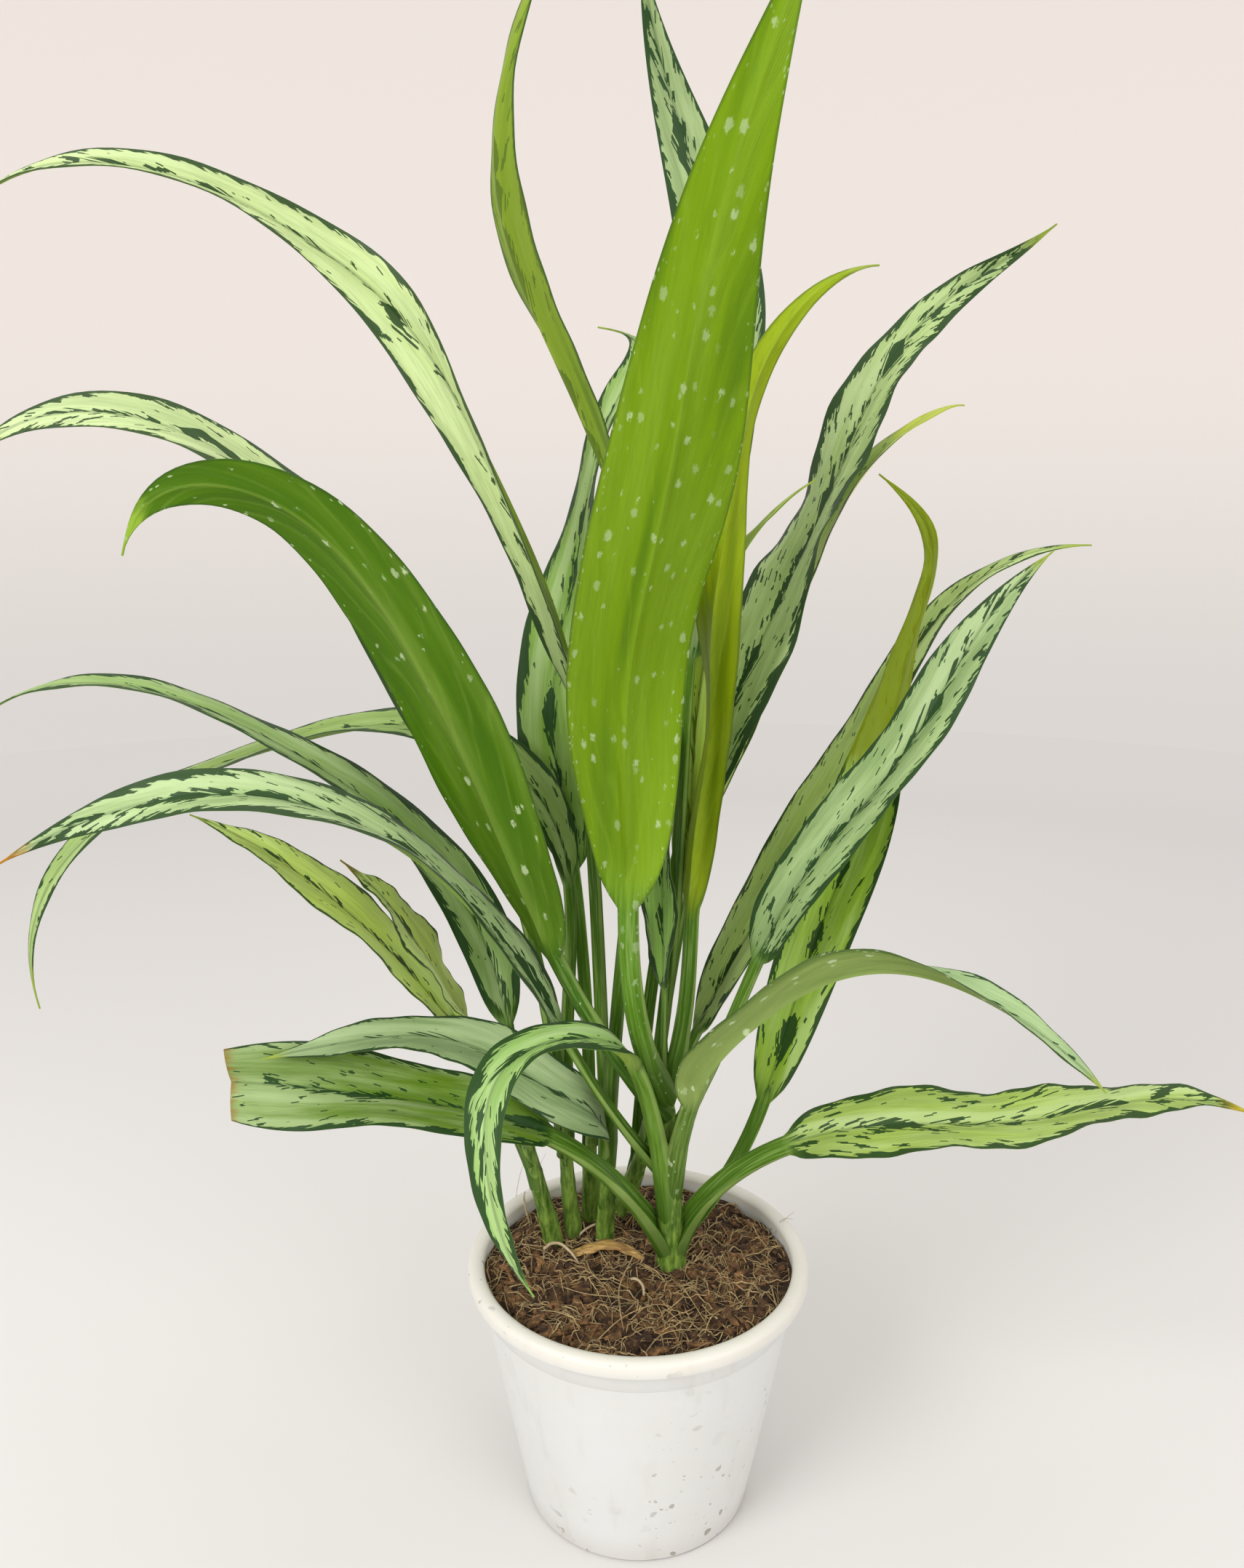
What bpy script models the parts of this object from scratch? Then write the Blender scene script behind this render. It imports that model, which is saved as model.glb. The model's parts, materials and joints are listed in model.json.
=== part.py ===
"""Potted aglaonema: a clump of long narrow leaves in a round plastic nursery pot.

Metres, +Z up. The pot stands on z = 0 with its axis on Z, and -Y is the front.
Every leaf is one closed solid that starts a small gap above the sheath it grows from. The
sheaths and the short cane of a shoot are one solid, and each cane stands in a hole in the soil.
"""
import math
from collections import namedtuple

import bmesh
import bpy
from mathutils import Vector

MM = 0.001
GAP = 0.3
UP = Vector((0.0, 0.0, 1.0))

# Pot, in millimetres
POT_HEIGHT = 100.0
RIM_RADIUS = 65.0
MOUTH_RADIUS = 58.8
NECK_RADIUS = 60.9
BASE_RADIUS = 43.4
LIP_HEIGHT = 6.2
LIP_STEPS = 4
LIP_FLATTEN = 0.8
WALL = 1.6
FOOT_HEIGHT = 1.0
FOOT_WIDTH = 3.0
PAD_RADIUS = 14.0
EDGE = 0.8
FLOOR_CHAMFER = 1.0
POT_SIDES = 48
DRAIN_HOLES = 5
DRAIN_RADIUS = 4.0
DRAIN_CIRCLE = 27.0
DRAIN_CUT = (-5.0, 10.0)

# Soil, in millimetres
SOIL_LEVEL = 93.0
SOIL_RELIEF = 0.96
SOIL_RINGS = 6
HOLE_FLOOR = 70.0

# Canes, in millimetres
CANE_SIDES = 12
CANE_STRAIGHT = 95.0
CANE_TIP = 4.0
CANE_SHARES = (1.0, 1.0, 0.7, 0.55, 0.3)

# Leaves, in millimetres and degrees
SHEATH = 28.0
SHEATH_SWELL = 0.45
SHEATH_RINGS = 4
FIRST_RING_GAP = 2.0
STALK_UP = 0.62
STALK_DOWN = 1.0
STALK_EDGE = 0.12
BLADE_HALF_THICKNESS = 0.4
BLEND_REACH = 0.07
TIP_HALF_WIDTH = 0.5
WIDEST = 0.4
BASE_POWERS = (2.6, 0.45)
TIP_POWER = 1.1
RIB_SHARE = 0.8
RIB_POWER = 1.6
WAVE_START = 0.12
WAVE_END = 0.15
WAVE_TURN = 0.6
WAVE_POWER = 1.5
COLUMNS = (-1.0, -0.5, 0.0, 0.5, 1.0)
PETIOLE_STEPS = 16
BLADE_STEPS = 32
PETIOLE_STRIDE = 4
BLADE_STRIDE = 2
LEAN_PLACES = (0.0, 0.35, 0.7, 1.0)
ROLL_PLACES = (0.0, 0.5, 1.0)

Shoot = namedtuple("Shoot", "name foot middle top radius")
Leaf = namedtuple(
    "Leaf",
    "name shoot attach petiole blade width lean heading roll stalk fold wave waves phase cut sheath",
    defaults=(2.4, 12, 0.8, 3.0, 0.0, 1.0, SHEATH),
)

# A shoot's cane rises straight to CANE_STRAIGHT, then through its middle to its top
SHOOTS = (
    Shoot("shoot_front", foot=(13, 2), middle=(11, -3, 140), top=(9, -6, 175), radius=6.0),
    Shoot("shoot_back", foot=(-6, 38), middle=(2, 30, 125), top=(6, 26, 150), radius=4.4),
    Shoot("shoot_centre", foot=(-13, 18), middle=(-12, 12, 125), top=(-11, 8, 150), radius=4.0),
    Shoot("shoot_back_left", foot=(-19, 33), middle=(-19, 28, 125), top=(-18, 24, 150), radius=3.8),
    Shoot("shoot_left_inner", foot=(-26, 24), middle=(-28, 19, 125), top=(-30, 16, 150), radius=3.6),
    Shoot("shoot_left_outer", foot=(-34, 18), middle=(-39, 13, 120), top=(-44, 10, 145), radius=4.2),
)

# attach is the height on the cane. petiole, blade and width are sizes. lean is measured from
# upright at the sheath and at the four places in LEAN_PLACES along the blade, heading from +X at
# those four, and roll about the spine at the three in ROLL_PLACES. stalk is the petiole's radius
# and fold the rise of each half of the blade. wave, waves and phase shape its edges. cut is the
# share of the outline that is left, and sheath the length that wraps the cane. A leaf narrower
# than its stalk is a new one, still rolled up.
LEAVES = (
    Leaf("leaf_front_tall", "shoot_front", 168, petiole=86, blade=288, width=40,
         lean=(40, 1, 28, 28, 18), heading=(-120, -70, -70, -5), roll=(15, -15, -65),
         stalk=3.6, fold=8, wave=0.6),
    Leaf("leaf_left_dark", "shoot_front", 160, petiole=81, blade=239, width=34,
         lean=(40, 25, 27, 50, 153), heading=(-155, -135, -165, -220), roll=(25, 30, 95),
         stalk=3.2, fold=8, wave=0.6),
    Leaf("leaf_left_high_arch", "shoot_centre", 116, petiole=199, blade=306, width=22,
         lean=(0, 14, 34, 71, 118), heading=(230, 145, 200, 145), roll=(-200, -75, -30), fold=26,
         sheath=44),
    Leaf("leaf_left_tall", "shoot_centre", 130, petiole=193, blade=224, width=28,
         lean=(12, 13, 23, 31, 24), heading=(-80, -175, -100, 10), roll=(-45, -5, -150), fold=14),
    Leaf("leaf_back_tall", "shoot_back", 140, petiole=187, blade=238, width=32,
         lean=(10, 4, 12, 19, 26), heading=(-35, 50, 175, 255), roll=(95, -35, -175)),
    Leaf("leaf_left_arch", "shoot_left_inner", 140, petiole=118, blade=270, width=32,
         lean=(5, 20, 34, 66, 131), heading=(-135, -200, -175, -190), roll=(-85, -15, -90)),
    Leaf("leaf_inner_broad", "shoot_back_left", 130, petiole=116, blade=228, width=30,
         lean=(0, 7, 16, 17, 81), heading=(195, 60, -5, 170), roll=(-105, 25, -5)),
    Leaf("leaf_right_upright", "shoot_front", 165, petiole=71, blade=250, width=18,
         lean=(19, 2, 21, 13, 83), heading=(30, -100, 0, 40), roll=(-160, -30, -145),
         stalk=2.8, fold=16, wave=0.6),
    Leaf("leaf_inner_slim", "shoot_back", 130, petiole=107, blade=168, width=24,
         lean=(23, 1, 3, 21, 61), heading=(-30, 5, 0, 15), roll=(55, 30, -5), sheath=32),
    Leaf("leaf_right_wavy", "shoot_back", 120, petiole=148, blade=280, width=32,
         lean=(0, 16, 34, 40, 73), heading=(-10, 40, 35, -70), roll=(90, -20, 140),
         wave=2.4, waves=3.5),
    Leaf("leaf_right_behind", "shoot_back", 105, petiole=124, blade=241, width=28,
         lean=(13, 11, 28, 30, 89), heading=(20, 30, -5, 55), roll=(-10, 10, 5)),
    Leaf("leaf_centre_small", "shoot_front", 172, petiole=35, blade=100, width=20,
         lean=(14, 11, 8, 10, 0), heading=(90, 95, 30, 5), roll=(-70, -45, 40), stalk=1.4, sheath=16),
    Leaf("leaf_right_silver", "shoot_front", 145, petiole=83, blade=175, width=28,
         lean=(27, 21, 40, 29, 51), heading=(-10, 5, 10, 5), roll=(50, 20, 85)),
    Leaf("leaf_right_back", "shoot_back", 115, petiole=66, blade=252, width=30,
         lean=(19, 24, 34, 33, 91), heading=(0, 20, 5, -5), roll=(25, 10, 25)),
    Leaf("leaf_right_hooked", "shoot_front", 104, petiole=66, blade=254, width=27,
         lean=(52, 19, 19, 15, 54), heading=(15, 5, 10, 185), roll=(55, 60, -125), fold=14, stalk=2.8),
    Leaf("leaf_right_arch", "shoot_front", 125, petiole=51, blade=180, width=26,
         lean=(18, 29, 53, 111, 139), heading=(-70, -10, -20, 10), roll=(10, -35, 65), fold=20, stalk=3.4),
    Leaf("leaf_right_low", "shoot_front", 97, petiole=72, blade=164, width=28,
         lean=(17, 59, 85, 78, 100), heading=(-20, -10, 0, -30), roll=(50, 15, 20),
         stalk=3.6, wave=1.8, waves=3.5, phase=40),
    Leaf("leaf_front_hanging", "shoot_front", 115, petiole=79, blade=141, width=18,
         lean=(13, 36, 93, 158, 152), heading=(-120, -145, -65, 20), roll=(-25, 10, 130),
         sheath=36, stalk=3.4),
    Leaf("leaf_left_cut", "shoot_front", 98, petiole=81, blade=116, width=32,
         lean=(27, 54, 82, 80, 92), heading=(-155, -185, -175, -190), roll=(-35, -20, -90),
         stalk=3.6, wave=0.6, waves=2.0, cut=0.6),
    Leaf("leaf_left_twisted", "shoot_centre", 110, petiole=41, blade=147, width=24,
         lean=(0, 36, 62, 84, 98), heading=(-95, -195, -155, -165), roll=(-75, -20, -45),
         sheath=42, wave=1.2),
    Leaf("leaf_left_long", "shoot_front", 132, petiole=80, blade=226, width=30,
         lean=(39, 28, 47, 95, 118), heading=(-155, -165, -185, -150), roll=(-35, -5, -100),
         stalk=2.1),
    Leaf("leaf_left_slim", "shoot_left_outer", 140, petiole=49, blade=255, width=26,
         lean=(8, 9, 46, 71, 126), heading=(170, 190, 185, 160), roll=(-70, -10, -15)),
    Leaf("leaf_left_drooping", "shoot_left_inner", 130, petiole=111, blade=297, width=22,
         lean=(0, 5, 95, 120, 192), heading=(200, 165, 200, 180), roll=(-70, -5, -55), sheath=42),
    Leaf("leaf_left_low", "shoot_left_outer", 130, petiole=63, blade=130, width=28,
         lean=(24, 40, 42, 56, 68), heading=(160, 185, 175, 180), roll=(0, -15, -10)),
    Leaf("leaf_left_small", "shoot_left_outer", 120, petiole=71, blade=83, width=24,
         lean=(13, 27, 27, 35, 52), heading=(-175, -160, -170, -180), roll=(5, -25, 0), sheath=36,
         wave=1.2),
    Leaf("leaf_new_rolled", "shoot_front", 172, petiole=34, blade=46, width=4,
         lean=(25, 10, 2, 0, 0), heading=(160, 160, 160, 160), roll=(0, 0, 0), stalk=2.2, sheath=20),
)

Frame = namedtuple("Frame", "point side normal along reach")


def clear_scene():
    """Start from an empty scene."""
    for item in list(bpy.data.objects):
        bpy.data.objects.remove(item, do_unlink=True)


def make_material(name, colour, roughness, metallic=0.0):
    """Plain Principled material in one colour."""
    material = bpy.data.materials.new(name)
    material.use_nodes = True
    shader = material.node_tree.nodes["Principled BSDF"]
    shader.inputs["Base Color"].default_value = (*colour, 1.0)
    shader.inputs["Roughness"].default_value = roughness
    shader.inputs["Metallic"].default_value = metallic
    material.diffuse_color = (*colour, 1.0)
    return material


def pot_material():
    return make_material("pot_plastic", (0.80, 0.80, 0.78), 0.45)


def soil_material():
    return make_material("coir_soil", (0.10, 0.055, 0.03), 0.95)


def shoot_material(name):
    return make_material(f"{name}_green", (0.10, 0.26, 0.06), 0.45)


def leaf_material(name):
    return make_material(f"{name}_green", (0.20, 0.38, 0.12), 0.42)


def new_object(name, mesh, material, smooth_angle=40.0):
    """Link an object with one material, shaded smooth below the given edge angle."""
    mesh.materials.append(material)
    mesh.shade_smooth()
    mesh.set_sharp_from_angle(angle=math.radians(smooth_angle))
    item = bpy.data.objects.new(name, mesh)
    bpy.context.scene.collection.objects.link(item)
    return item


def hide_cutter(item):
    """Keep a Boolean's operand out of the build."""
    item.hide_render = True
    item.display_type = "WIRE"
    return item


def apply_modifiers(item):
    """Keep an object's evaluated mesh as its own and drop its modifiers."""
    evaluated = item.evaluated_get(bpy.context.evaluated_depsgraph_get())
    item.data = bpy.data.meshes.new_from_object(evaluated)
    item.data.name = item.name
    item.modifiers.clear()


def finish_mesh(builder, name):
    """Turn a bmesh into a mesh with every face outward."""
    bmesh.ops.recalc_face_normals(builder, faces=builder.faces)
    mesh = bpy.data.meshes.new(name)
    builder.to_mesh(mesh)
    builder.free()
    return mesh


def smooth_value(places, values, at):
    """Read a smooth cubic through the values at one place along it."""
    rises = [(values[i + 1] - values[i]) / (places[i + 1] - places[i]) for i in range(len(values) - 1)]
    slopes = [rises[0]]
    for i in range(1, len(rises)):
        before = places[i] - places[i - 1]
        after = places[i + 1] - places[i]
        slopes.append((rises[i - 1] * after + rises[i] * before) / (before + after))
    slopes.append(rises[-1])
    i = 0
    while i < len(rises) - 1 and at >= places[i + 1]:
        i += 1
    span = places[i + 1] - places[i]
    t = (at - places[i]) / span
    start = (2 * t**3 - 3 * t**2 + 1) * values[i] + (t**3 - 2 * t**2 + t) * span * slopes[i]
    end = (3 * t**2 - 2 * t**3) * values[i + 1] + (t**3 - t**2) * span * slopes[i + 1]
    return start + end


def shoot_named(name):
    return next(shoot for shoot in SHOOTS if shoot.name == name)


def cane_centre(shoot, height):
    """Point on a cane's axis at a height."""
    if height <= CANE_STRAIGHT:
        return Vector((*shoot.foot, height))
    bend = Vector((*shoot.foot, CANE_STRAIGHT))
    for end in (Vector(shoot.middle), Vector(shoot.top)):
        if height <= end.z or end.z == shoot.top[2]:
            return bend.lerp(end, (height - bend.z) / (end.z - bend.z))
        bend = end


def spine_stations(leaf):
    """Lengths along the spine at which its frames are taken."""
    petiole = [leaf.petiole * i / PETIOLE_STEPS for i in range(PETIOLE_STEPS)]
    blade = [leaf.petiole + leaf.blade * i / BLADE_STEPS for i in range(BLADE_STEPS + 1)]
    return petiole + blade


def spine(leaf):
    """Frames from the cane to the tip, with the side and the upper normal of the blade."""
    stations = spine_stations(leaf)
    blade_places = [leaf.petiole + leaf.blade * place for place in LEAN_PLACES]
    places = [0.0] + blade_places
    headings = (leaf.heading[0],) + tuple(leaf.heading)
    point = cane_centre(shoot_named(leaf.shoot), leaf.attach)
    frames = []
    previous = None
    for index, along in enumerate(stations):
        lean = math.radians(smooth_value(places, leaf.lean, along))
        heading = math.radians(smooth_value(places, headings, along))
        outward = Vector((math.cos(heading), math.sin(heading), 0.0))
        side = Vector((-outward.y, outward.x, 0.0))
        tangent = outward * math.sin(lean) + UP * math.cos(lean)
        normal = UP * math.sin(lean) - outward * math.cos(lean)
        if previous:
            point = point + (previous + tangent) * 0.5 * (along - stations[index - 1])
        previous = tangent
        reach = max(0.0, (along - leaf.petiole) / leaf.blade)
        roll = math.radians(smooth_value(ROLL_PLACES, leaf.roll, reach))
        turned_side = math.cos(roll) * side + math.sin(roll) * normal
        turned_normal = math.cos(roll) * normal - math.sin(roll) * side
        frames.append(Frame(point, turned_side, turned_normal, along, reach))
    return frames


def blade_outline(reach):
    """Half width of a blade as a share of its widest, from its base to its point."""
    if reach < WIDEST:
        shoulder, fullness = BASE_POWERS
        return (1 - (1 - reach / WIDEST) ** shoulder) ** fullness
    return math.cos(math.pi / 2 * min(1.0, (reach - WIDEST) / (1 - WIDEST))) ** TIP_POWER


def blade_blend(leaf, reach):
    """How far the round stalk has turned into the flat blade, from 0 to 1."""
    if leaf.width < 2 * leaf.stalk:
        return 0.0
    share = min(1.0, reach / BLEND_REACH)
    return share * share * (3 - 2 * share)


def stalk_radius(leaf, frame):
    """Radius of the petiole, swollen where it wraps its cane; a rolled leaf tapers to its tip."""
    radius = leaf.stalk * (1 + SHEATH_SWELL * max(0.0, 1 - frame.along / leaf.sheath))
    if leaf.width < 2 * leaf.stalk:
        radius *= max(0.2, 1 - frame.reach**2)
    return radius


def edge_wave(leaf, reach, column):
    """Rise of the waved edge, strongest at the margins and still at the base and the tip."""
    envelope = min(1.0, reach / WAVE_START) * min(1.0, (1 - reach) / WAVE_END)
    turn = math.radians(leaf.phase) + math.copysign(WAVE_TURN, column)
    ripple = math.sin(2 * math.pi * leaf.waves * reach + turn)
    return leaf.wave * envelope * ripple * abs(column) ** WAVE_POWER


def section(leaf, frame):
    """Ten points round the leaf at one frame: the upper side left to right, then the lower side back."""
    stalk = stalk_radius(leaf, frame)
    blend = blade_blend(leaf, frame.reach)
    outline = blade_outline(frame.reach * leaf.cut) if frame.reach > 0 else 0.0
    half_width = max(outline * leaf.width / 2, stalk * (1 - blend), TIP_HALF_WIDTH)
    fold = math.radians(leaf.fold) * blend
    rib = (leaf.stalk - BLADE_HALF_THICKNESS) * (1 - frame.reach) ** RIB_POWER * RIB_SHARE
    upper = []
    lower = []
    for column in COLUMNS:
        across = column * half_width * math.cos(fold)
        rise = abs(column) * half_width * math.sin(fold) + edge_wave(leaf, frame.reach, column)
        middle = frame.point + frame.side * across + frame.normal * rise
        round_share = math.sqrt(max(0.0, 1 - column * column))
        stalk_up = stalk * (STALK_EDGE + (STALK_UP - STALK_EDGE) * round_share)
        stalk_down = stalk * (STALK_EDGE + (STALK_DOWN - STALK_EDGE) * round_share)
        blade_down = BLADE_HALF_THICKNESS + (rib if column == 0 else 0.0)
        up = stalk_up * (1 - blend) + BLADE_HALF_THICKNESS * blend
        down = stalk_down * (1 - blend) + blade_down * blend
        upper.append(middle + frame.normal * up)
        lower.append(middle - frame.normal * down)
    return [point * MM for point in upper + lower[::-1]]


def extrude_to(builder, face, ring):
    """Extrude an end face to the next ring, splitting the sides alike on both faces."""
    before = list(face.verts)
    made = bmesh.ops.extrude_face_region(builder, geom=[face])["geom"]
    end = next(item for item in made if isinstance(item, bmesh.types.BMFace))
    after = list(end.verts)
    for vertex, place in zip(after, ring):
        vertex.co = place
    count = len(ring)
    for index in range(count):
        following = (index + 1) % count
        quad = builder.faces.get((before[index], before[following], after[following], after[index]))
        if index < count // 2:
            bmesh.utils.face_split(quad, before[index], after[following])
        else:
            bmesh.utils.face_split(quad, before[following], after[index])
    return end


def loft(name, rings):
    """Closed mesh through rings that all have the same number of points."""
    builder = bmesh.new()
    first = builder.faces.new([builder.verts.new(place) for place in rings[0]])
    face = first
    for ring in rings[1:]:
        end = extrude_to(builder, face, ring)
        if face is not first:
            builder.faces.remove(face)
        face = end
    return finish_mesh(builder, name)


def ring_frames(leaf):
    """The frames that carry a ring, apart from the one where the sheath ends."""
    frames = spine(leaf)
    petiole = frames[0:PETIOLE_STEPS:PETIOLE_STRIDE]
    blade = frames[PETIOLE_STEPS::BLADE_STRIDE]
    return petiole + blade


def frame_at(leaf, along):
    """The frame at any length along the petiole."""
    frames = spine(leaf)
    after = next(i for i, frame in enumerate(frames) if frame.along >= along and i > 0)
    first = frames[after - 1]
    last = frames[after]
    share = (along - first.along) / (last.along - first.along)
    point = first.point.lerp(last.point, share)
    side = first.side.lerp(last.side, share).normalized()
    normal = first.normal.lerp(last.normal, share).normalized()
    reach = first.reach + (last.reach - first.reach) * share
    return Frame(point, side, normal, along, reach)


def build_leaf(leaf):
    """Petiole and blade from just above the sheath to the tip."""
    start = leaf.sheath + GAP
    frames = [frame for frame in ring_frames(leaf) if frame.along > start + FIRST_RING_GAP]
    rings = [section(leaf, frame_at(leaf, start))] + [section(leaf, frame) for frame in frames]
    return new_object(leaf.name, loft(leaf.name, rings), leaf_material(leaf.name))


def build_sheath(leaf):
    """The part of a petiole that wraps its cane, ready to be united with it."""
    lengths = [leaf.sheath * i / (SHEATH_RINGS - 1) for i in range(SHEATH_RINGS)]
    rings = [section(leaf, frame_at(leaf, length)) for length in lengths]
    mesh = loft(f"{leaf.name}_sheath", rings)
    return new_object(f"{leaf.name}_sheath", mesh, bpy.data.materials[f"{leaf.shoot}_green"])


def cane_ring(centre, radius):
    """Level ring of a cane."""
    turns = [2 * math.pi * i / CANE_SIDES for i in range(CANE_SIDES)]
    return [(centre + Vector((math.cos(turn), math.sin(turn), 0)) * radius) * MM for turn in turns]


def build_shoot(shoot):
    """A cane united with the sheaths of all the leaves it carries."""
    heights = [HOLE_FLOOR + GAP, CANE_STRAIGHT, shoot.middle[2], shoot.top[2] - CANE_TIP, shoot.top[2]]
    rings = []
    for height, share in zip(heights, CANE_SHARES):
        rings.append(cane_ring(cane_centre(shoot, height), shoot.radius * share))
    item = new_object(shoot.name, loft(shoot.name, rings), shoot_material(shoot.name))
    sheaths = bpy.data.collections.new(f"{shoot.name}_sheaths")
    bpy.context.scene.collection.children.link(sheaths)
    for leaf in LEAVES:
        if leaf.shoot == shoot.name:
            sheath = build_sheath(leaf)
            bpy.context.scene.collection.objects.unlink(sheath)
            sheaths.objects.link(sheath)
    unite = item.modifiers.new("unite_sheaths", "BOOLEAN")
    unite.operation = "UNION"
    unite.operand_type = "COLLECTION"
    unite.collection = sheaths
    unite.solver = "EXACT"
    apply_modifiers(item)
    for sheath in list(sheaths.objects):
        bpy.data.objects.remove(sheath, do_unlink=True)
    bpy.data.collections.remove(sheaths)
    return item


def turned(name, profile, sides):
    """Spin an open profile of radius and height pairs round Z and fill the two discs it leaves."""
    builder = bmesh.new()
    verts = [builder.verts.new((radius * MM, 0, height * MM)) for radius, height in profile]
    edges = [builder.edges.new((first, second)) for first, second in zip(verts, verts[1:])]
    bmesh.ops.spin(
        builder, geom=verts + edges, axis=(0, 0, 1), cent=(0, 0, 0), angle=2 * math.pi, steps=sides,
        use_merge=True,
    )
    bmesh.ops.remove_doubles(builder, verts=builder.verts, dist=0.00001)
    bmesh.ops.holes_fill(builder, edges=[edge for edge in builder.edges if edge.is_boundary], sides=0)
    return finish_mesh(builder, name)


def wall_radius(height, inset=0.0):
    """Radius of the pot's outer wall at a height, less an inset."""
    neck = POT_HEIGHT - LIP_HEIGHT
    return BASE_RADIUS + (NECK_RADIUS - BASE_RADIUS) * height / neck - inset


def lip_profile():
    """Rolled rim, from under the lip over the top to the mouth."""
    under = POT_HEIGHT - LIP_HEIGHT
    crown = (RIM_RADIUS + MOUTH_RADIUS) / 2
    half = (RIM_RADIUS - MOUTH_RADIUS) / 2
    rise = half * LIP_FLATTEN
    points = [(NECK_RADIUS, under), (RIM_RADIUS - EDGE, under), (RIM_RADIUS, under + EDGE)]
    for step in range(LIP_STEPS + 1):
        turn = math.pi * step / LIP_STEPS
        points.append((crown + half * math.cos(turn), POT_HEIGHT - rise + rise * math.sin(turn)))
    return points


def build_pot():
    """Tapered pot with a rolled rim, a foot ring, a pad under its middle and drain holes."""
    floor = FOOT_HEIGHT + WALL
    corner = floor + FLOOR_CHAMFER
    throat = POT_HEIGHT - LIP_HEIGHT - FLOOR_CHAMFER
    profile = [(PAD_RADIUS, 0), (PAD_RADIUS + FOOT_HEIGHT, FOOT_HEIGHT)]
    profile += [(BASE_RADIUS - FOOT_WIDTH - FOOT_HEIGHT, FOOT_HEIGHT), (BASE_RADIUS - FOOT_WIDTH, 0)]
    profile += [(BASE_RADIUS - EDGE, 0), (wall_radius(EDGE), EDGE)]
    profile += lip_profile()
    profile += [(wall_radius(throat + FLOOR_CHAMFER, WALL), throat)]
    profile += [(wall_radius(corner, WALL), corner), (wall_radius(floor, WALL + FLOOR_CHAMFER), floor)]
    pot = new_object("pot", turned("pot", profile, POT_SIDES), pot_material())
    for index in range(DRAIN_HOLES):
        turn = 2 * math.pi * index / DRAIN_HOLES
        x = DRAIN_CIRCLE * math.cos(turn)
        y = DRAIN_CIRCLE * math.sin(turn)
        cut(pot, build_cylinder(f"drain_{index + 1}", DRAIN_RADIUS, DRAIN_CUT, x, y))
    return pot


def build_cylinder(name, radius, heights, x, y):
    """Upright cutter between two heights, with its facets aligned with a cane's."""
    rings = [cane_ring(Vector((x, y, height)), radius) for height in heights]
    return hide_cutter(new_object(name, loft(name, rings), soil_material()))


def cut(item, cutter):
    """Subtract a cutter from an object."""
    step = item.modifiers.new(cutter.name, "BOOLEAN")
    step.operation = "DIFFERENCE"
    step.object = cutter
    step.solver = "EXACT"


def soil_height(x, y):
    """Lumpy top of the soil, from waves of three lengths."""
    lumps = math.sin(x * 0.21 + 1.0) * math.cos(y * 0.17) + 0.6 * math.sin(x * 0.09 - y * 0.31)
    return SOIL_LEVEL + SOIL_RELIEF * lumps


def build_soil():
    """Coir that fills the pot, with a hole for each cane."""
    floor = FOOT_HEIGHT + WALL + GAP
    base = wall_radius(floor, WALL + FLOOR_CHAMFER)
    side = wall_radius(SOIL_LEVEL, WALL + GAP)
    builder = bmesh.new()
    bmesh.ops.create_circle(builder, cap_ends=True, radius=base * MM, segments=POT_SIDES)
    bmesh.ops.translate(builder, verts=builder.verts, vec=(0, 0, floor * MM))
    top = builder.faces[:][0]
    top = bmesh.ops.extrude_face_region(builder, geom=[top])["geom"]
    face = next(item for item in top if isinstance(item, bmesh.types.BMFace))
    place_ring(face.verts, side)
    for step in range(1, SOIL_RINGS):
        bmesh.ops.inset_region(builder, faces=[face], thickness=GAP * MM)
        place_ring(face.verts, side * (1 - step / SOIL_RINGS))
    bmesh.ops.poke(builder, faces=[face])
    bmesh.ops.triangulate(builder, faces=[item for item in builder.faces if len(item.verts) == 4])
    soil = new_object("soil", finish_mesh(builder, "soil"), soil_material())
    for shoot in SHOOTS:
        span = (HOLE_FLOOR, POT_HEIGHT)
        cut(soil, build_cylinder(f"{shoot.name}_hole", shoot.radius + GAP, span, *shoot.foot))
    return soil


def place_ring(verts, radius):
    """Move a ring of vertices to a radius, on the soil's surface."""
    for vertex in verts:
        turn = math.atan2(vertex.co.y, vertex.co.x)
        x = radius * math.cos(turn)
        y = radius * math.sin(turn)
        vertex.co = Vector((x, y, soil_height(x, y))) * MM


def main():
    clear_scene()
    build_pot()
    build_soil()
    for shoot in SHOOTS:
        build_shoot(shoot)
    for leaf in LEAVES:
        build_leaf(leaf)


main()
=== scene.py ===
import json
import math
import random
from collections import namedtuple

import bmesh
import bpy
from bpy.props import FloatProperty, FloatVectorProperty, IntProperty, PointerProperty
from bpy.types import Operator, Panel, PropertyGroup
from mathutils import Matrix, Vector, noise

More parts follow.
